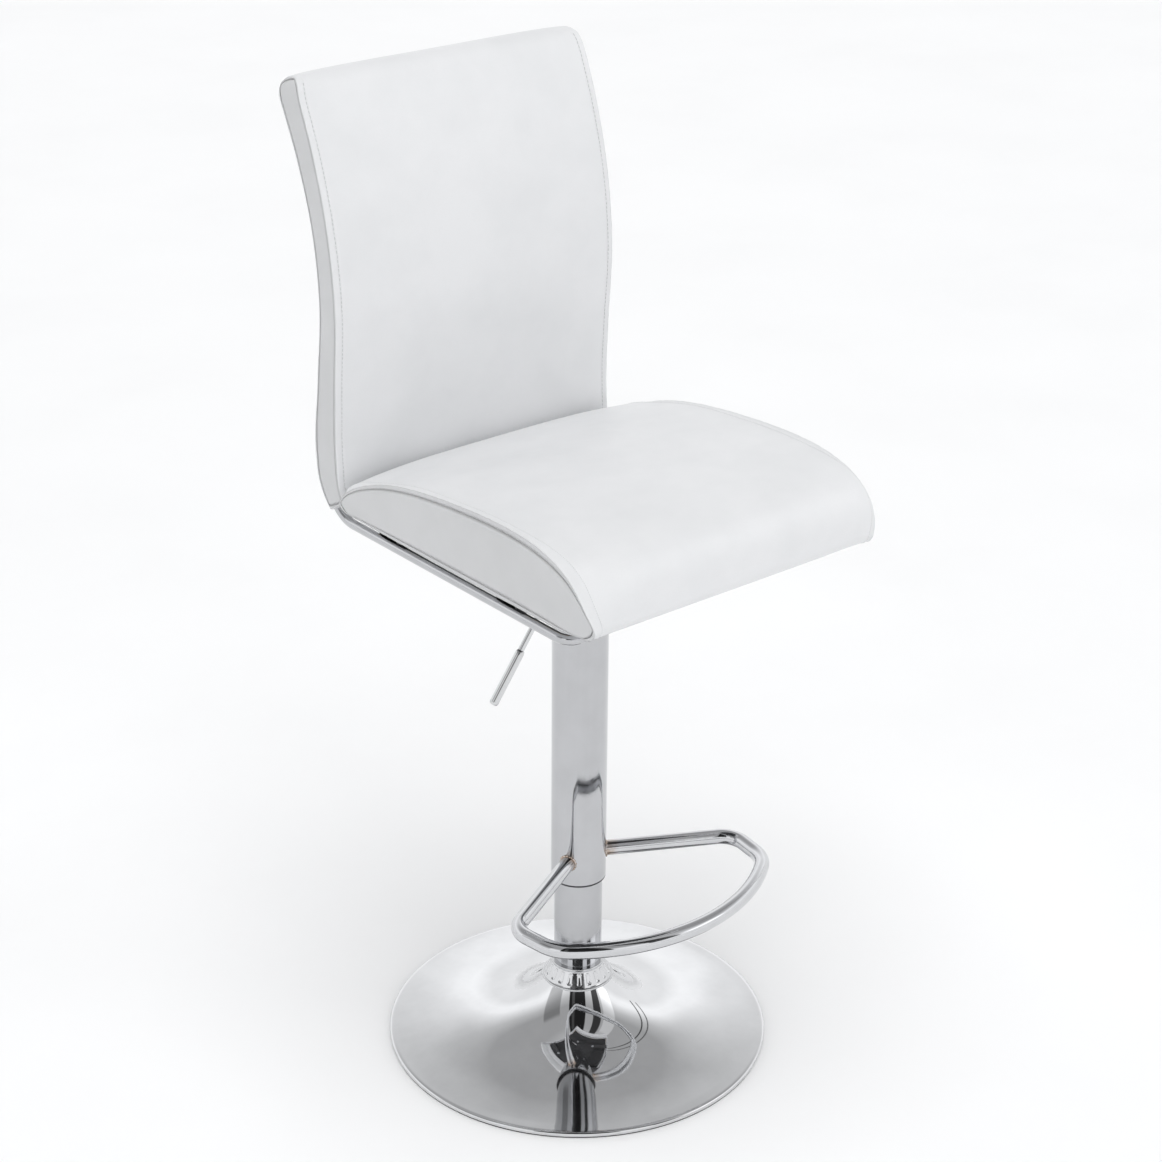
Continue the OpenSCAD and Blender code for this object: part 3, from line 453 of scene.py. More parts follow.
def make_collar():
    lip_r, cone_foot, cone_head = 37.5, 35.0, 27.4
    foot_z, head_z, top_z = 67.4, 82.5, 86.0
    corners = [(25.0, NECK_Z, 0), (lip_r, NECK_Z, 0.7), (lip_r, foot_z, 0.9), (cone_foot + 0.6, foot_z, 0.6),
               (cone_foot, foot_z + 0.9, 0.4), (cone_head, head_z, 0.5), (cone_head + 0.8, head_z + 0.6, 0.5),
               (cone_head + 0.8, top_z, 0.7), (25.0, top_z, 0)]
    outline = rounded(corners, 0.5, 5, 0.15)
    cone = [np.array([cone_foot, foot_z + 0.9]), np.array([cone_head, head_z])]
    a = int(np.argmin(np.linalg.norm(outline - cone[0], axis=1)))
    while outline[a][1] < foot_z + 1.25:
        a += 1
    fine = np.array([cone[0] + (cone[1] - cone[0]) * t for t in np.linspace(0.04, 0.96, 34)])
    b = int(np.argmax((outline[:, 1] > head_z - 0.35) & (np.arange(len(outline)) > a)))
    outline = np.vstack([outline[:a], fine, outline[b:]])
    flutes, half_w, half_l, depth = 20, 0.165, 0.40, 1.15
    across = (cone[1] - cone[0]) / np.linalg.norm(cone[1] - cone[0])
    out = np.array([across[1], -across[0]])

    def flute(points, angles, line):
        along = (line - cone[0]) @ across / np.linalg.norm(cone[1] - cone[0])
        on_cone = np.abs((line - cone[0]) @ out) < 0.06
        phase = (angles * flutes / (2 * math.pi) + 0.5) % 1 - 0.5
        u = phase[:, None] / (half_w * 1.5)
        v = (along[None, :] - 0.5) / half_l
        inside = (1 - (np.abs(u) ** 2.4 + np.abs(v) ** 5)).clip(0, 1)
        sunk = depth * np.sqrt(inside) * on_cone[None, :]
        points[..., 0] -= sunk * out[0] * np.cos(angles)[:, None]
        points[..., 1] -= sunk * out[0] * np.sin(angles)[:, None]
        points[..., 2] -= sunk * out[1]
        return points

    collar = lathe("base_collar_shell", outline, chrome, "base", turns=480, shape=flute)
    stand_in(collar, "chrome", "base_collar")


def tube(name, r, bore, low, high, body):
    """A chrome tube with softly turned ends and rows of points along its wall."""
    levels = np.linspace(0, 1, 9)[1:-1]
    corners = [(bore, low), (r, low)] + [(r, low + t * (high - low), 0) for t in levels] \
        + [(r, high), (bore, high)]
    return lathe(name, rounded(corners, 0.45, 4), tube_chrome, body, turns=160)


make_base()
make_collar()
column_low, column_high = 15.7, 404.0
column = tube("column_shell", 25.0, 23.0, column_low, column_high, "base")
stand_in(column, "chrome_tube", "column_tube")

sleeve_low, sleeve_high = 188.6, 543.0
sleeve = tube("sleeve_shell", 28.5, 27.0, sleeve_low, sleeve_high, "seat")
stand_in(sleeve, "chrome_tube", "sleeve_tube")
guide_corners = [
    (25.3, 186.8), (28.3, 186.8), (28.3, 188.5, 0.1), (26.9, 188.7, 0.1), (26.9, 206.5), (25.3, 206.5),
]
guide_lip = rounded(guide_corners, 0.35, 4, 0.2)
stand_in(lathe("sleeve_guide_collar", guide_lip, plastic, "seat"), "black_plastic", "sleeve_guide_ring")


# ---- Footrest ----

FOOTREST_Z = 215.0
FOOTREST_BAR_R = 8.0


def make_footrest():
    leg, bend_r, bend, side = 28.0, 26.0, 70.0, 20.0
    shoulder_r, shoulder, bow_r = 42.0, 44.0, 203.0
    h0 = 180 + leg
    h1, h2 = h0 + bend, h0 + bend + shoulder
    travel = lambda r, a, b: r * (math.sin(math.radians(b)) - math.sin(math.radians(a)))
    reach = -(travel(bend_r, h0, h1) + side * math.cos(math.radians(h1)) + travel(shoulder_r, h1, h2)
              + travel(bow_r, h2, 360)) / math.cos(math.radians(h0))
    steps = [(reach, bend_r, bend), (side, shoulder_r, shoulder), (0, bow_r, 2 * (360 - h2)),
             (0, shoulder_r, shoulder), (side, bend_r, bend), (reach, 0, 0)]
    flat = np.array(walk((0, 0), h0, steps))
    inside_wall = 27.2
    flat = flat[np.hypot(flat[:, 0], flat[:, 1]) > inside_wall]
    start = inside_wall * np.array([math.cos(math.radians(h0)), math.sin(math.radians(h0))])
    flat = np.vstack([start, flat, start * [-1, 1]])
    path = np.column_stack([flat, np.full(len(flat), FOOTREST_Z)])
    bar = sweep("footrest_bow", path, FOOTREST_BAR_R, welded_chrome, "seat", sides=48)
    stand_in(bar, "chrome_tube", "footrest_ring")
    for side_name, sign in (("left", 1), ("right", -1)):
        direction = np.array([sign * -math.cos(math.radians(h0)), math.sin(math.radians(h0)), 0])
        bead_at(f"{side_name}_footrest_weld", direction)


def bead_at(name, direction):
    """A fillet weld where the footrest's bar meets the sleeve: a rippled ring that follows both."""
    out = np.array([direction[0], direction[1], 0.0])
    cross = np.array([-out[1], out[0], 0.0])
    count = 96
    ring_r, sleeve_r = FOOTREST_BAR_R + 0.2, 28.6
    ring = []
    for k in range(count):
        a = 2 * math.pi * k / count
        c, up = ring_r * math.cos(a), ring_r * math.sin(a)
        depth = math.sqrt(sleeve_r**2 - c * c)
        ring.append(out * depth + cross * c + np.array([0, 0, FOOTREST_Z + up]))
    ripples = 17
    size = [1.25 + 0.16 * math.sin(k * 2 * math.pi / count * ripples) + 0.08 * math.sin(k * 0.9)
            for k in range(count)]
    bead = sweep(name, ring, size, welded_chrome, "seat", sides=10, closed=True)


make_footrest()


# ---- Seat frame and lever ----


def make_frame_rod():
    """The one bent rod that carries the seat and runs up into the back."""
    half, z, front, bend = 165.0, 577.0, -182.0, 14.0
    rear, rear_bend, rise_length, rod_r = 150, 38.0, 105, 5.0
    right_half = walk((0, front), 0, [(half - bend, bend, 90), (rear - front - bend, 0, 0)])
    rod = [(x, y, z) for x, y in right_half]
    rise = walk((rear, z), 0, [(0, rear_bend, 90), (rise_length, 0, 0)])
    rod += [(half, y, h) for y, h in rise[1:]]
    rod = [(-x, y, h) for x, y, h in reversed(rod)] + rod[1:]
    piece = sweep("seat_frame_rod", rod, rod_r, tube_chrome, "seat")
    stand_in(piece, "chrome_tube", "left_rail", "right_rail", "front_rod")


def make_lever_grip():
    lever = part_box("lever_grip")
    low, high = np.array(lever[0]) / MM, np.array(lever[1]) / MM
    # The grip's axis lies in one plane, rising inwards at the lever's drop angle
    lever_y, drop = -60.0, math.radians(54)
    axis = np.array([math.cos(drop), 0, math.sin(drop)])
    r = 4.3
    tip = np.array([low[0] + r * math.sin(drop), lever_y, low[2] + r * math.cos(drop)])
    length = (high[0] - low[0] - 2 * r * math.sin(drop)) / math.cos(drop)
    proud = 0.06
    spots = np.concatenate([[0], np.arange(3.0, length - 3.5, 2.0), [length - 3, length]])
    radii = np.where(spots < length - 4, r + proud, np.where(spots < length - 1, r - 0.1, r - 0.3))
    path = [tip + axis * s for s in spots]
    grip = sweep("release_lever_grip", path, radii, chrome, "lever", sides=40, dome=2.2)
    stand_in(grip, "chrome", "lever_grip")


make_frame_rod()
make_lever_grip()


# ---- Upholstery ----

SEAT_Z = 594.0


def smooth_line(points, steps):
    """A smooth curve through the points, with `steps` samples to each gap."""
    p = np.array(points, float)
    gap = np.linalg.norm(np.diff(p[:, :2], axis=0), axis=1)[:, None]
    step = np.diff(p, axis=0) / gap
    middle = (step[1:] * gap[:-1] + step[:-1] * gap[1:]) / (gap[:-1] + gap[1:])
    slope = np.vstack([step[:1], middle, step[-1:]])
    line = []
    for i in range(len(p) - 1):
        for k in range(steps):
            t = k / steps
            line.append((2 * t**3 - 3 * t**2 + 1) * p[i] + (t**3 - 2 * t**2 + t) * gap[i] * slope[i]
                        + (3 * t**2 - 2 * t**3) * p[i + 1] + (t**3 - t**2) * gap[i] * slope[i + 1])
    line.append(p[-1])
    return np.array(line)


def lengths_along(line):
    """Each point's distance from the start, along the line."""
    return np.concatenate([[0], np.cumsum(np.linalg.norm(np.diff(line, axis=0), axis=1))])


def spread(line, count):
    """`count` points at even distances along a line."""
    d = lengths_along(line)
    at = np.linspace(0, d[-1], count)
    return np.stack([np.interp(at, d, line[:, k]) for k in range(line.shape[1])], 1)


def catmull(values, at, closed=False):
    """Cubic interpolation of a grid's rows at fractional row numbers."""
    n = len(values)
    i = np.floor(at).astype(int)
    t = (at - i).reshape(-1, *[1] * (values.ndim - 1))
    pick = (lambda k: values[k % n]) if closed else (lambda k: values[np.clip(k, 0, n - 1)])
    a, b, c, d = pick(i - 1), pick(i), pick(i + 1), pick(i + 2)
    if not closed:
        first, last = (i <= 0).reshape(t.shape), (i >= n - 2).reshape(t.shape)
        a = np.where(first, 2 * b - c, a)
        d = np.where(last, 2 * c - b, d)
    return 0.5 * (2 * b + (c - a) * t + (2 * a - 5 * b + 4 * c - d) * t**2 + (3 * b - a - 3 * c + d) * t**3)


def resample(grid, rows, columns, closed=False):
    """The points of a grid at fractional rows and columns."""
    grid = catmull(grid, rows, closed)
    return catmull(grid.transpose(1, 0, 2), columns).transpose(1, 0, 2)


def number_points(index, columns, column, patch, points):
    """Point numbers of a panel: the strip's own on the seam, and new points from `patch` inside it."""
    ids = np.where(index >= 0, index * columns + column, -1)
    for i, j in zip(*np.where(ids < 0)):
        ids[i, j] = len(points)
        points.append(patch[i, j])
    return ids


class Cushion:
    """A boxed cushion: one strip of leather round the side outline, and a panel sewn in on each side.

    Outlines run round the cushion once. Each is four stretches, and their numbers of cells are in
    `cells`: along the front face, round one end, back along the other face, and round the other end.
    """

    def __init__(self, side_loop, mid_loop, half_width, cells, columns, rounding=3.0):
        self.cells = cells
        self.loop = sum(cells)
        u = np.linspace(-1, 1, columns)
        weight = 1 - np.sqrt(1 - np.abs(u) ** rounding)
        flat = mid_loop[:, None, :] + (side_loop - mid_loop)[:, None, :] * weight[None, :, None]
        x = half_width[:, None] * u[None, :]
        self.strip = np.concatenate([x[..., None], flat], -1)
        self.columns = columns
        self.side = [self.panel(k) for k in (0, -1)]

    def panel(self, column):
        """Points of a side panel, filled in from its seam by a Coons patch."""
        n, k, _, _ = self.cells
        edge = self.strip[:, column]
        near = edge[: n + 1]
        end = edge[n: n + k + 1]
        far = edge[n + k: 2 * n + k + 1][::-1]
        start = np.vstack([edge[2 * n + k:], edge[:1]])[::-1]
        s = np.linspace(0, 1, n + 1)[:, None, None]
        t = np.linspace(0, 1, k + 1)[None, :, None]
        sides = (1 - t) * near[:, None] + t * far[:, None] + (1 - s) * start[None] + s * end[None]
        corners = (1 - s) * (1 - t) * near[0] + s * (1 - t) * near[-1]
        corners = corners + (1 - s) * t * far[0] + s * t * far[-1]
        return sides - corners

    def panel_index(self, per=1):
        """Where each panel point on the seam sits in the loop, or -1 inside, with `per` points to a cell."""
        n, k = self.cells[0] * per, self.cells[1] * per
        index = -np.ones((n + 1, k + 1), int)
        index[:, 0] = np.arange(n + 1)
        index[-1, :] = n + np.arange(k + 1)
        index[:, -1] = (n + k + np.arange(n + 1))[::-1]
        index[0, :] = (2 * n + k + np.arange(k + 1))[::-1] % (self.loop * per)
        return index

    def mesh_data(self):
        """Points and quads of the whole closed cushion, and the numbers of each panel's points."""
        points = list(self.strip.reshape(-1, 3))
        faces = grid_faces(self.loop, self.columns, close_rows=True)
        numbers = []
        for side, column in ((0, 0), (1, self.columns - 1)):
            ids = number_points(self.panel_index(), self.columns, column, self.side[side], points)
            faces += id_quads(ids, flip=not side)
            numbers.append(ids)
        return np.array(points), faces, numbers

    def inflate(self, name, pressure, cap, held):
        """Puffs the panels by cloth simulation, with the seams and the `held` strip rows kept in place."""
        points, faces, numbers = self.mesh_data()
        obj = add_mesh(name, points, faces, leather)
        seam = {int(i * self.columns + c) for i in range(self.loop) for c in (0, self.columns - 1)}
        seam |= {int(i * self.columns + c) for i in held for c in range(self.columns)}
        group = obj.vertex_groups.new(name="seams")
        group.add(sorted(seam), 1.0, "REPLACE")
        cloth_modifier = obj.modifiers.new("cloth", "CLOTH")
        settings = cloth_modifier.settings
        settings.quality = 6
        settings.mass = 0.35
        settings.tension_stiffness = settings.compression_stiffness = 30
        settings.shear_stiffness = 12
        settings.bending_stiffness = 6
        settings.use_pressure = True
        settings.uniform_pressure_force = pressure
        settings.vertex_group_mass = "seams"
        settings.effector_weights.gravity = 0
        cloth_modifier.collision_settings.use_collision = False
        scene = bpy.context.scene
        last_frame, smoothing_rounds = 20, 14
        cloth_modifier.point_cache.frame_start, cloth_modifier.point_cache.frame_end = 1, last_frame
        for f in range(1, last_frame + 1):
            scene.frame_set(f)
        evaluated = obj.evaluated_get(bpy.context.evaluated_depsgraph_get())
        moved = np.array([v.co for v in evaluated.data.vertices]) / MM
        scene.frame_set(1)
        bpy.data.objects.remove(obj)
        shift = moved - points
        length = np.linalg.norm(shift, axis=1, keepdims=True)
        shift *= np.minimum(1, cap * np.tanh(length / cap) / np.maximum(length, 1e-9))
        # Evens the shift out round the loop, so that no fold line is left where the leather turns sharply
        strip_shift = shift[: self.loop * self.columns].reshape(self.loop, self.columns, 3)
        for _ in range(smoothing_rounds):
            neighbours = np.roll(strip_shift, 1, 0) + np.roll(strip_shift, -1, 0)
            strip_shift = 0.5 * strip_shift + 0.25 * neighbours
        strip_shift[:, [0, -1]] = 0
        strip_shift[list(held)] = 0
        shift[: self.loop * self.columns] = strip_shift.reshape(-1, 3)
        points = points + shift
        self.strip = points[: self.loop * self.columns].reshape(self.loop, self.columns, 3)
        self.side = [points[ids] for ids in numbers]

    # The finished surfaces

    def strip_columns(self):
        """Column numbers across the strip, close together beside the seams and under the stitch rows."""
        width = 2 * abs(float(self.strip[0, 0, 0]))
        cell = width / (self.columns - 1)
        near = np.array([0, 0.35, 0.7, 1.1, 1.6, 2.3, 3.2, 4.4, 5.6, 6.3, 6.8, 7.2, 7.7, 8.4, 9.6, 11.5])
        near = near / cell
        inner = np.arange(math.ceil(near[-1] + 0.4), self.columns - 1 - math.ceil(near[-1] + 0.4) + 1)
        inner = np.sort(np.concatenate([inner, inner[:-1] + 0.5]))
        return np.concatenate([near, inner, self.columns - 1 - near[::-1]]), cell

    def finished_strip(self, rows_per_cell=2):
        rows = np.arange(self.loop * rows_per_cell) / rows_per_cell
        columns, cell = self.strip_columns()
        return resample(self.strip, rows, columns, closed=True), columns, cell


def strip_normals(grid):
    """Outward directions of a strip that closes on itself along its rows."""
    along = np.roll(grid, -1, 0) - np.roll(grid, 1, 0)
    return unit_rows(np.cross(np.gradient(grid, axis=1), along))


def wander(s, seed):
    """A smooth curve of unit size along s, the same on every run."""
    rng = np.random.default_rng(seed)
    total = np.zeros_like(s, dtype=float)
    for wave in (9.0, 14.0, 23.0, 41.0):
        total += rng.uniform(0.4, 1.0) * np.sin(2 * math.pi * s / wave + rng.uniform(0, 6.28))
    return total / 2.4


GROOVE_DEPTH, GROOVE_WIDTH = 0.60, 0.5
WELT_HEIGHT, SIDE_WELT_HEIGHT, WELT_AT, WELT_WIDTH = 0.28, 0.25, 2.6, 1.9
CHANNEL_DEPTH, CHANNEL_WIDTH = 0.42, 0.75
PUCKER_HEIGHT, PUCKER_WIDTH = 0.30, 14.0


def groove_at(distance):
    """Depth of the groove along a seam, at a distance from it."""
    return GROOVE_DEPTH * np.exp(-((distance / GROOVE_WIDTH) ** 1.3))


def welt_at(distance):
    """Share of its full height that the welt beside a seam has, at a distance from the seam."""
    return np.exp(-(((distance - WELT_AT) / WELT_WIDTH) ** 2))


def sewn_panel(points, patch, ids, side):
    """Faces of a side panel. Extra rings of points beside its seam let it turn in sharply there."""
    boundary = rim_of(ids.shape[0] - 1, ids.shape[1] - 1)
    count = len(boundary)
    last_i, last_j = ids.shape[0] - 2, ids.shape[1] - 2
    inner = [(min(max(i, 1), last_i), min(max(j, 1), last_j)) for i, j in boundary]
    out = np.array([1.0 if side else -1.0, 0, 0])
    rings = [[int(ids[place]) for place in boundary]]
    edge = np.array([patch[place] for place in boundary])
    inwards = np.array([patch[place] for place in inner]) - edge
    room = np.linalg.norm(inwards, axis=1)
    for distance in (0.45, 1.0, 1.9):
        reach = np.minimum(distance, room * (distance / 4.0))
        sink = groove_at(distance) - SIDE_WELT_HEIGHT * welt_at(distance)
        start = len(points)
        points += list(edge + unit_rows(inwards) * reach[:, None] - out * sink)
        rings.append(list(range(start, start + count)))
    faces = []
    for ring, next_ring in zip(rings, rings[1:]):
        for b in range(count):
            c = (b + 1) % count
            faces.append((ring[b], ring[c], next_ring[c], next_ring[b]))
    for b in range(count):
        c = (b + 1) % count
        quad = (rings[-1][b], rings[-1][c], int(ids[inner[c]]), int(ids[inner[b]]))
        faces.append(quad[:3] if quad[2] == quad[3] else quad)
    if side:
        faces = [tuple(reversed(face)) for face in faces]
    return faces + id_quads(ids[1:-1, 1:-1], flip=not side)


def finish_cushion(cushion, name, seed, stitch_rows):
    """The final leather mesh of a cushion, with its sewn grooves, and the stitches as pieces of their own."""
    grid, columns, cell = cushion.finished_strip()
    edge_distance = np.minimum(columns, cushion.columns - 1 - columns) * cell
    along = lengths_along(grid[:, 0])
    relief = WELT_HEIGHT * welt_at(edge_distance) - groove_at(edge_distance)
    for offset, _, _ in stitch_rows:
        relief -= CHANNEL_DEPTH * np.exp(-(((edge_distance - offset) / CHANNEL_WIDTH) ** 2))
    pucker = PUCKER_HEIGHT * np.exp(-edge_distance / PUCKER_WIDTH)[None, :] * wander(along, seed)[:, None]
    grid = grid + strip_normals(grid) * (relief[None, :, None] + pucker[..., None])
    rows, cols = grid.shape[:2]
    points = list(grid.reshape(-1, 3))
    faces = grid_faces(rows, cols, close_rows=True)
    per = rows // cushion.loop
    index = cushion.panel_index(per)
    at_rows, at_columns = (np.arange(size) / per for size in index.shape)
    side_faces = []
    for side, column in ((0, 0), (1, cols - 1)):
        patch = resample(cushion.side[side], at_rows, at_columns)
        ids = number_points(index, cols, column, patch, points)
        side_faces += sewn_panel(points, patch, ids, side)
    piece = add_mesh(name, np.array(points), faces + side_faces, leather, "seat")
    # The side panels take the darker leather copy, which paints the shade of the sides into their colour
    piece.data.materials.append(painted_shade_side_leather)
    for p in piece.data.polygons[len(faces):]:
        p.material_index = 1
    lay_stitches(cushion, name, grid, columns, cell, stitch_rows)
    return piece


def lay_stitches(cushion, name, grid, columns, cell, stitch_rows):
    """Short thread stitches along each row, which is (distance from the seam, first row, last row)."""
    last = cushion.columns - 1
    normal = strip_normals(grid)
    rows = len(grid)
    for number, (offset, first, final) in enumerate(stitch_rows):
        for side_name, column in (("right", offset / cell), ("left", last - offset / cell)):
            j = int(np.argmin(np.abs(columns - column)))
            span = np.arange(int(first * rows), int(final * rows)) % rows
            line, up = grid[span, j], normal[span, j]
            d = lengths_along(line)
            pitch, length, radius = 4.4, 3.5, 0.40
            starts = np.arange(1.0, d[-1] - pitch, pitch)
            points, faces = [], []
            sides = 6
            # Along the stitch: the share of its length, of its thickness, and its lift off the leather
            first_half = [(0.0, 0.35, -0.30), (0.14, 0.85, 0.05)]
            profile = first_half + [(0.5, 1.0, 0.30), (0.86, 0.85, 0.05), (1.0, 0.35, -0.30)]
            for s in starts:
                base = len(points)
                for share, size, lift in profile:
                    at = s + share * length
                    p = np.array([np.interp(at, d, line[:, k]) for k in range(3)])
                    n = unit_rows(np.array([np.interp(at, d, up[:, k]) for k in range(3)]))
                    q = np.array([np.interp(at + 0.5, d, line[:, k]) for k in range(3)])
                    t = unit_rows(q - p)
                    c = np.cross(t, n)
                    for m in range(sides):
                        a = 2 * math.pi * m / sides
                        round_it = c * math.cos(a) + n * math.sin(a)
                        points.append(p + n * (lift + 0.12) + radius * size * round_it)
                faces += grid_faces(len(profile), sides, base, close_columns=True, flip=True)
                faces += [tuple(base + m for m in range(sides)),
                          tuple(base + (len(profile) - 1) * sides + m for m in reversed(range(sides)))]
            made = add_mesh(f"{name}_{side_name}_stitches_{number + 1}", points, faces, thread, "seat")


# Side outlines as (distance behind the axis, height above the seat's underside)
SEAT_SEAM = [
    (157, 6), (147, 18.5), (131, 30), (97, 46), (52, 59), (2, 67), (-45, 71.5), (-100, 74), (-134, 73),
    (-168, 67.5), (-193, 58), (-209, 46), (-220, 31), (-226.5, 15), (-226, 7), (-220, 1.7), (-207, 0),
]
SEAT_CROWN = [
    (161, 8), (160, 26), (146, 39), (100, 54.5), (52, 63.5), (2, 70.5), (-45, 75), (-92, 79), (-133, 81.5),
    (-176, 80.5), (-203, 75.5), (-220, 66), (-230, 50), (-232.5, 28), (-229, 10), (-221, 2.2), (-207, 0),
]
SEAT_HALF = 179.0


def loop_of(stretches, cells):
    """One outline through four stretches, each cut into its number of cells."""
    loop = np.vstack([spread(line, count + 1)[:-1] for line, count in zip(stretches, cells)])
    loop[:, 1] += SEAT_Z
    return loop


def turn_in(share, depth, fullness=0.985):
    """How far an edge turns in, along nearly a quarter circle, at a share of the way to its corner."""
    return depth * (1 - np.sqrt(1 - fullness * share**2))


def seat_loops():
    cells = (58, 8, 58, 8)
    seam, crown = smooth_line(SEAT_SEAM, 12), smooth_line(SEAT_CROWN, 12)
    split = 13 * 12
    top_seam, top_crown = seam[: split + 1], crown[: split + 1]
    nose_seam, nose_crown = seam[split:], crown[split:]
    under = np.array([(-207, 0), (-100, -0.6), (0, -0.9), (90, -0.6), (146, 0)], float)
    heel_seam = smooth_line([(146, 0), (152.5, 1.6), (157, 6)], 8)
    heel_crown = smooth_line([(146, 0), (155.5, 2.0), (161, 8)], 8)
    under = smooth_line(under, 12)
    loops = []
    for top, nose, heel in ((top_seam, nose_seam, heel_seam), (top_crown, nose_crown, heel_crown)):
        loops.append(loop_of((top, nose, under, heel), cells))
    return loops, cells


# Middle line of the back as (distance behind the axis, height above the seat's underside, half its thickness)
BACK_SPINE = [(171.5, -4, 13.9), (181, 14, 17.5), (185, 46, 19.3), (180.5, 116, 17.3),
              (174.3, 204, 15.4), (183.5, 278, 15), (203, 342, 15.8), (227.5, 398, 16.8)]
BACK_HALF = 171.6


def back_loops():
    """Seam and crown outlines of the back, from its spine: up the front, over the top, down the rear."""
    cells = (60, 7, 60, 7)
    spine = smooth_line(BACK_SPINE, 12)
    tangent = unit_rows(np.gradient(spine[:, :2], axis=0))
    left = np.stack([-tangent[:, 1], tangent[:, 0]], 1)
    tip, heading = spine[-1], math.atan2(tangent[-1][1], tangent[-1][0])
    loops, arc_points, cut = [], 33, 10
    height = (spine[:, 1] - spine[0, 1]) / (spine[-1, 1] - spine[0, 1])
    swell = np.sin(np.pi * np.clip(height, 0, 1) ** 0.8) ** 0.7
    for puff_front, puff_rear, puff_top in ((-2.4, -1.8, -1.8), (2.6, 1.8, 0.4)):
        half_front = spine[:, 2] + puff_front * np.maximum(swell, 0.25)
        half_rear = spine[:, 2] + puff_rear * np.maximum(swell, 0.25)
        front = spine[:, :2] + left * half_front[:, None]
        rear = spine[:, :2] - left * half_rear[:, None]
        angles = heading + np.radians(np.linspace(90, -90, arc_points))
        radius = np.linspace(half_front[-1], half_rear[-1], arc_points)
        radius = radius + puff_top * np.sin(np.linspace(0, math.pi, arc_points))
        top = tip[:2] + radius[:, None] * np.stack([np.cos(angles), np.sin(angles)], 1)
        foot = smooth_line([rear[0], (rear[0] + front[0]) / 2 + (-0.6, -0.8), front[0]], 12)
        front_line = np.vstack([front, top[1: cut + 1]])
        rear_line = np.vstack([top[-cut - 1: -1], rear[::-1]])
        loops.append(loop_of((front_line, top[cut: arc_points - cut], rear_line, foot), cells))
    return loops, cells


def open_underside(piece):
    """Raises the leather inside the dust cover's outline, so that the cloth fills a window in it."""
    low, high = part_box("seat_dust_cover")
    recess = 2.4 * MM
    for v in piece.data.vertices:
        inside = all(low[k] < v.co[k] < high[k] for k in (0, 1))
        if inside and v.co.z < (SEAT_Z + 1.5) * MM:
            v.co.z += recess
    piece.data.update()


def make_seat():
    (seam, crown), cells = seat_loops()
    half = np.full(len(seam), SEAT_HALF)
    seam_top, tuck, nose_start, nose_length = 74.0, 2.2, 204, 23
    corner_height, corner_start, corner_length = 36, 172, 36
    height = (seam[:, 1] - SEAT_Z) / seam_top
    half -= tuck * (1 - np.clip(height * 2.2, 0, 1)) ** 1.5
    nose = np.clip((-seam[:, 0] - nose_start) / nose_length, 0, 1)
    half -= turn_in(nose, 5.0)
    low = np.clip((SEAT_Z + corner_height - seam[:, 1]) / corner_height, 0, 1)
    low_nose = low * np.clip((-seam[:, 0] - corner_start) / corner_length, 0, 1)
    half -= turn_in(low_nose, 7.0, 0.9)
    cushion = Cushion(seam, crown, half, cells, 53, rounding=3.2)
    n, k = cells[0], cells[1]
    flat_rows = range(n + k + 2, 2 * n + k - 1)
    cushion.inflate("seat_form", pressure=4.0, cap=5.0, held=flat_rows)
    piece = finish_cushion(cushion, "seat_upholstery", seed=5, stitch_rows=[(7.0, 0.012, 0.495)])
    open_underside(piece)
    return stand_in(piece, "white_leather", "seat_cover", "seat_foam")


def make_back():
    (seam, crown), cells = back_loops()
    half = np.full(len(seam), BACK_HALF)
    corner_height, foot_top, foot_height, tuck = 24, 26, 40, 1.5
    corner_z = seam[:, 1].max() - corner_height
    half -= turn_in(np.clip((seam[:, 1] - corner_z) / corner_height, 0, 1), 7.0)
    half -= tuck * np.clip((SEAT_Z + foot_top - seam[:, 1]) / foot_height, 0, 1)
    cushion = Cushion(seam, crown, half, cells, 51, rounding=3.4)
    cushion.inflate("back_form", pressure=4.0, cap=4.0, held=[])
    piece = finish_cushion(cushion, "back_upholstery", seed=11, stitch_rows=[(7.0, 0.004, 0.447)])
    return stand_in(piece, "white_leather", "back_cover", "back_front_foam", "back_rear_foam")


make_seat()
make_back()


# ---- Underside ----


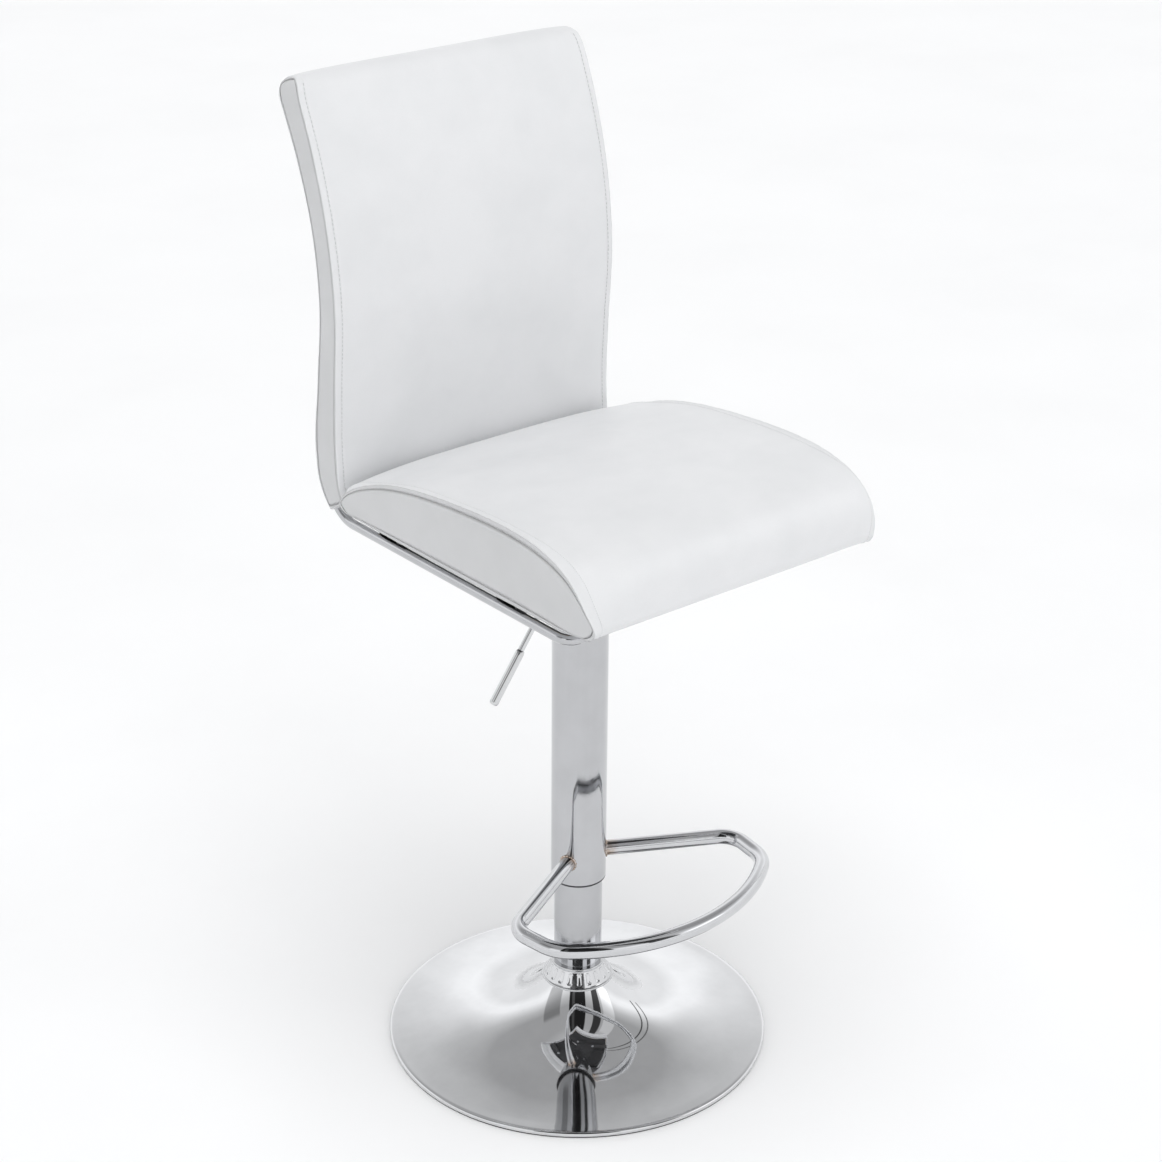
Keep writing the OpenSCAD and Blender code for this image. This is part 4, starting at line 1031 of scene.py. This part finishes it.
def make_dust_cover():
    """Thin cloth stretched over the seat's underside and stapled, a little slack between the bars."""
    low, high = (np.array(c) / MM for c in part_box("seat_dust_cover"))
    bars = [[c[1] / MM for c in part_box(name)] for name in ("front_cross_bar", "rear_cross_bar")]
    count, thickness, lift, sag, ripple = 72, 0.5, 0.1, 1.1, 0.15
    centre, half = (low + high) / 2, (high - low) / 2
    gx, gy = np.meshgrid(np.linspace(-1, 1, count), np.linspace(-1, 1, count), indexing="ij")
    x, y = centre[0] + gx * half[0], centre[1] + gy * half[1]
    clear = np.ones_like(y)
    for front, rear in bars:
        gap = np.maximum(front - y, y - rear)
        clear = np.minimum(clear, np.clip((gap - 3) / 30, 0, 1))
    slack = clear * np.clip((1 - np.abs(gx)) * 4, 0, 1) * np.clip((1 - np.abs(gy)) * 5, 0, 1)
    z = low[2] + lift - sag * slack - ripple * slack * np.sin(x / 9) * np.sin(y / 13 + 1)
    bottom = np.stack([x, y, z], -1)
    top = bottom + [0, 0, thickness]
    points = np.vstack([bottom.reshape(-1, 3), top.reshape(-1, 3)])
    size = count * count
    faces = grid_faces(count, count, flip=True) + grid_faces(count, count, size)
    ids = [i * count + j for i, j in rim_of(count - 1, count - 1)]
    for a, b in zip(ids, ids[1:] + ids[:1]):
        faces.append((a, b, b + size, a + size))
    cover = add_mesh("dust_cover_cloth", points, faces, cloth, "seat")
    stand_in(cover, "dust_cloth", "seat_dust_cover")
    staples, staple_faces, sides = [], [], 8
    inset, pitch, reach, wire = 4.0, 26.0, 4.5, 0.35
    spots = []
    for edge_axis in (0, 1):
        other = 1 - edge_axis
        run = half[edge_axis] - 9
        for at in np.linspace(-run, run, int(2 * run / pitch) + 1):
            for sign in (-1, 1):
                middle = np.array([0.0, 0.0, low[2] + lift])
                middle[edge_axis] = centre[edge_axis] + at
                middle[other] = centre[other] + sign * (half[other] - inset)
                spots.append((middle, np.eye(3)[edge_axis], np.eye(3)[other]))
    for middle, along, across in spots:
        if any(front - 6 < middle[1] < rear + 6 for front, rear in bars):
            continue
        start = len(staples)
        for share, drop in ((-1, 0.3), (-0.88, -0.12), (0.88, -0.12), (1, 0.3)):
            for k in range(sides):
                a = 2 * math.pi * k / sides
                staples.append(middle + along * reach * share + across * wire * math.cos(a)
                               + np.array([0, 0, drop + wire * math.sin(a)]))
        staple_faces += grid_faces(4, sides, start, close_columns=True)
        staple_faces.append(tuple(start + k for k in reversed(range(sides))))
        staple_faces.append(tuple(start + 3 * sides + k for k in range(sides)))
    pins = add_mesh("dust_cover_staples", staples, staple_faces, zinc, "seat")


make_dust_cover()

# ---- Camera and light ----


def look_from():
    """The camera, placed and turned so that the stool fills the picture as it does in the photo."""
    camera = bpy.data.cameras.new("camera")
    camera.lens, camera.sensor_width, camera.sensor_fit = 80.71, 36.0, "HORIZONTAL"
    camera.clip_end = 50
    obj = put("camera", camera)
    turn = Matrix(((0.77218, 0.26410, -0.57791), (-0.63535, 0.33209, -0.69717), (0.00779, 0.90552, 0.42423)))
    obj.matrix_world = Matrix.Translation((-1.48407, -1.79058, 1.61243)) @ turn.to_4x4()
    bpy.context.scene.camera = obj


def sky():
    """A studio's surroundings: bright low walls, a greyer ceiling, dark flags and thin stands."""
    world = bpy.data.worlds.new("studio")
    bpy.context.scene.world = world
    world.use_nodes = True
    tree = world.node_tree

    def math_node(kind, first, second):
        node = tree.nodes.new("ShaderNodeMath")
        node.operation = kind
        for socket, value in zip(node.inputs, (first, second)):
            if isinstance(value, (int, float)):
                socket.default_value = value
            else:
                tree.links.new(value, socket)
        return node.outputs["Value"]

    def band(value, low, high, soft, inside, outside):
        """`inside` between low and high, `outside` elsewhere, with an edge `soft` wide."""
        rise = tree.nodes.new("ShaderNodeMapRange")
        fall = tree.nodes.new("ShaderNodeMapRange")
        for node, edge in ((rise, low), (fall, high)):
            tree.links.new(value, node.inputs["Value"])
            node.interpolation_type = "SMOOTHSTEP"
            node.inputs["From Min"].default_value = edge - soft
            node.inputs["From Max"].default_value = edge + soft
        fall.inputs["To Min"].default_value, fall.inputs["To Max"].default_value = 1.0, 0.0
        both = math_node("MULTIPLY", rise.outputs["Result"], fall.outputs["Result"])
        return math_node("ADD", math_node("MULTIPLY", both, inside - outside), outside)

    place = tree.nodes.new("ShaderNodeTexCoord").outputs["Generated"]
    split = tree.nodes.new("ShaderNodeSeparateXYZ")
    tree.links.new(place, split.inputs[0])
    height = split.outputs["Z"]
    turn = math_node("ARCTAN2", split.outputs["X"], math_node("MULTIPLY", split.outputs["Y"], -1.0))
    up = tree.nodes.new("ShaderNodeValToRGB")
    tree.links.new(height, up.inputs["Fac"])
    # (sine of the elevation, brightness)
    stops = [(0.0, 1.05), (0.28, 1.05), (0.40, 1.25), (0.47, 1.2), (0.62, 0.66), (0.72, 0.44), (0.93, 0.44),
             (1.0, 0.6)]
    ramp = up.color_ramp
    ramp.elements[0].position, ramp.elements[1].position = stops[0][0], stops[-1][0]
    for position, _ in stops[1:-1]:
        ramp.elements.new(position)
    for element, (_, value) in zip(ramp.elements, stops):
        element.color = (value * 0.985, value * 0.99, value, 1)
    strength = None
    # Turns from the front towards +X in radians, sines of the elevation, softness of the edge, brightness
    patches = [
        (-1.12, -0.25, 0.36, 0.97, 0.012, 0.04),
        (-0.97, -0.83, 0.40, 0.95, 0.02, 4.0),
        (-2.2, -1.55, 0.36, 0.80, 0.03, 0.55),
        (0.10, 0.42, 0.36, 0.96, 0.01, 0.10),
        (0.52, 0.95, 0.35, 0.93, 0.02, 1.5),
        (1.60, 1.625, 0.3, 0.95, 0.004, 0.15),
        (1.70, 1.72, 0.3, 0.95, 0.004, 0.25),
    ]
    for left, right, low, high, soft, value in patches:
        across = band(turn, left, right, soft, 1.0, 0.0)
        tall = band(height, low, high, soft, 1.0, 0.0)
        patch = math_node("ADD", math_node("MULTIPLY", math_node("MULTIPLY", across, tall), value - 1.0), 1.0)
        strength = patch if strength is None else math_node("MULTIPLY", strength, patch)
    back = tree.nodes["Background"]
    tree.links.new(up.outputs["Color"], back.inputs["Color"])
    tree.links.new(strength, back.inputs["Strength"])


def lamp(name, place, target, width, height, power):
    """A soft lamp that lights the leather and doesn't show in the chrome."""
    data = bpy.data.lights.new(name, "AREA")
    data.shape, data.size, data.size_y, data.energy = "RECTANGLE", width, height, power
    obj = put(name, data)
    obj.location = place
    obj.rotation_euler = (Vector(target) - Vector(place)).to_track_quat("-Z", "Y").to_euler()
    obj.visible_glossy = False


def studio():
    sky()
    floor_shader = Shader("floor_look")
    floor_shader.colour(floor_shader.mixed(floor_shader.ramp(floor_shader.noise(400), 0, 1),
                                           (0.93, 0.932, 0.935), (0.95, 0.952, 0.955)))
    floor_shader.shader.inputs["Roughness"].default_value = 0.9
    floor_half, floor_cells, floor_z = 60000.0, 24, -0.05
    line = np.linspace(-floor_half, floor_half, floor_cells)
    gx, gy = np.meshgrid(line, line, indexing="ij")
    floor = add_mesh("studio_floor", np.stack([gx, gy, 0 * gx + floor_z], -1).reshape(-1, 3),
                     grid_faces(floor_cells, floor_cells, flip=True), floor_shader.material)
    overhead = bpy.data.lights.new("overhead", "SUN")
    overhead.energy, overhead.angle = 1.42, math.radians(50)
    overhead_object = put("overhead", overhead)
    overhead_object.rotation_euler = (math.radians(12), math.radians(-8), 0)
    overhead_object.visible_glossy = False
    lamp("front_light", (-1.6, -3.2, 2.0), (0, 0, 0.6), 2.4, 2.0, 16)
    bpy.context.scene.view_settings.view_transform = "Standard"


look_from()
studio()
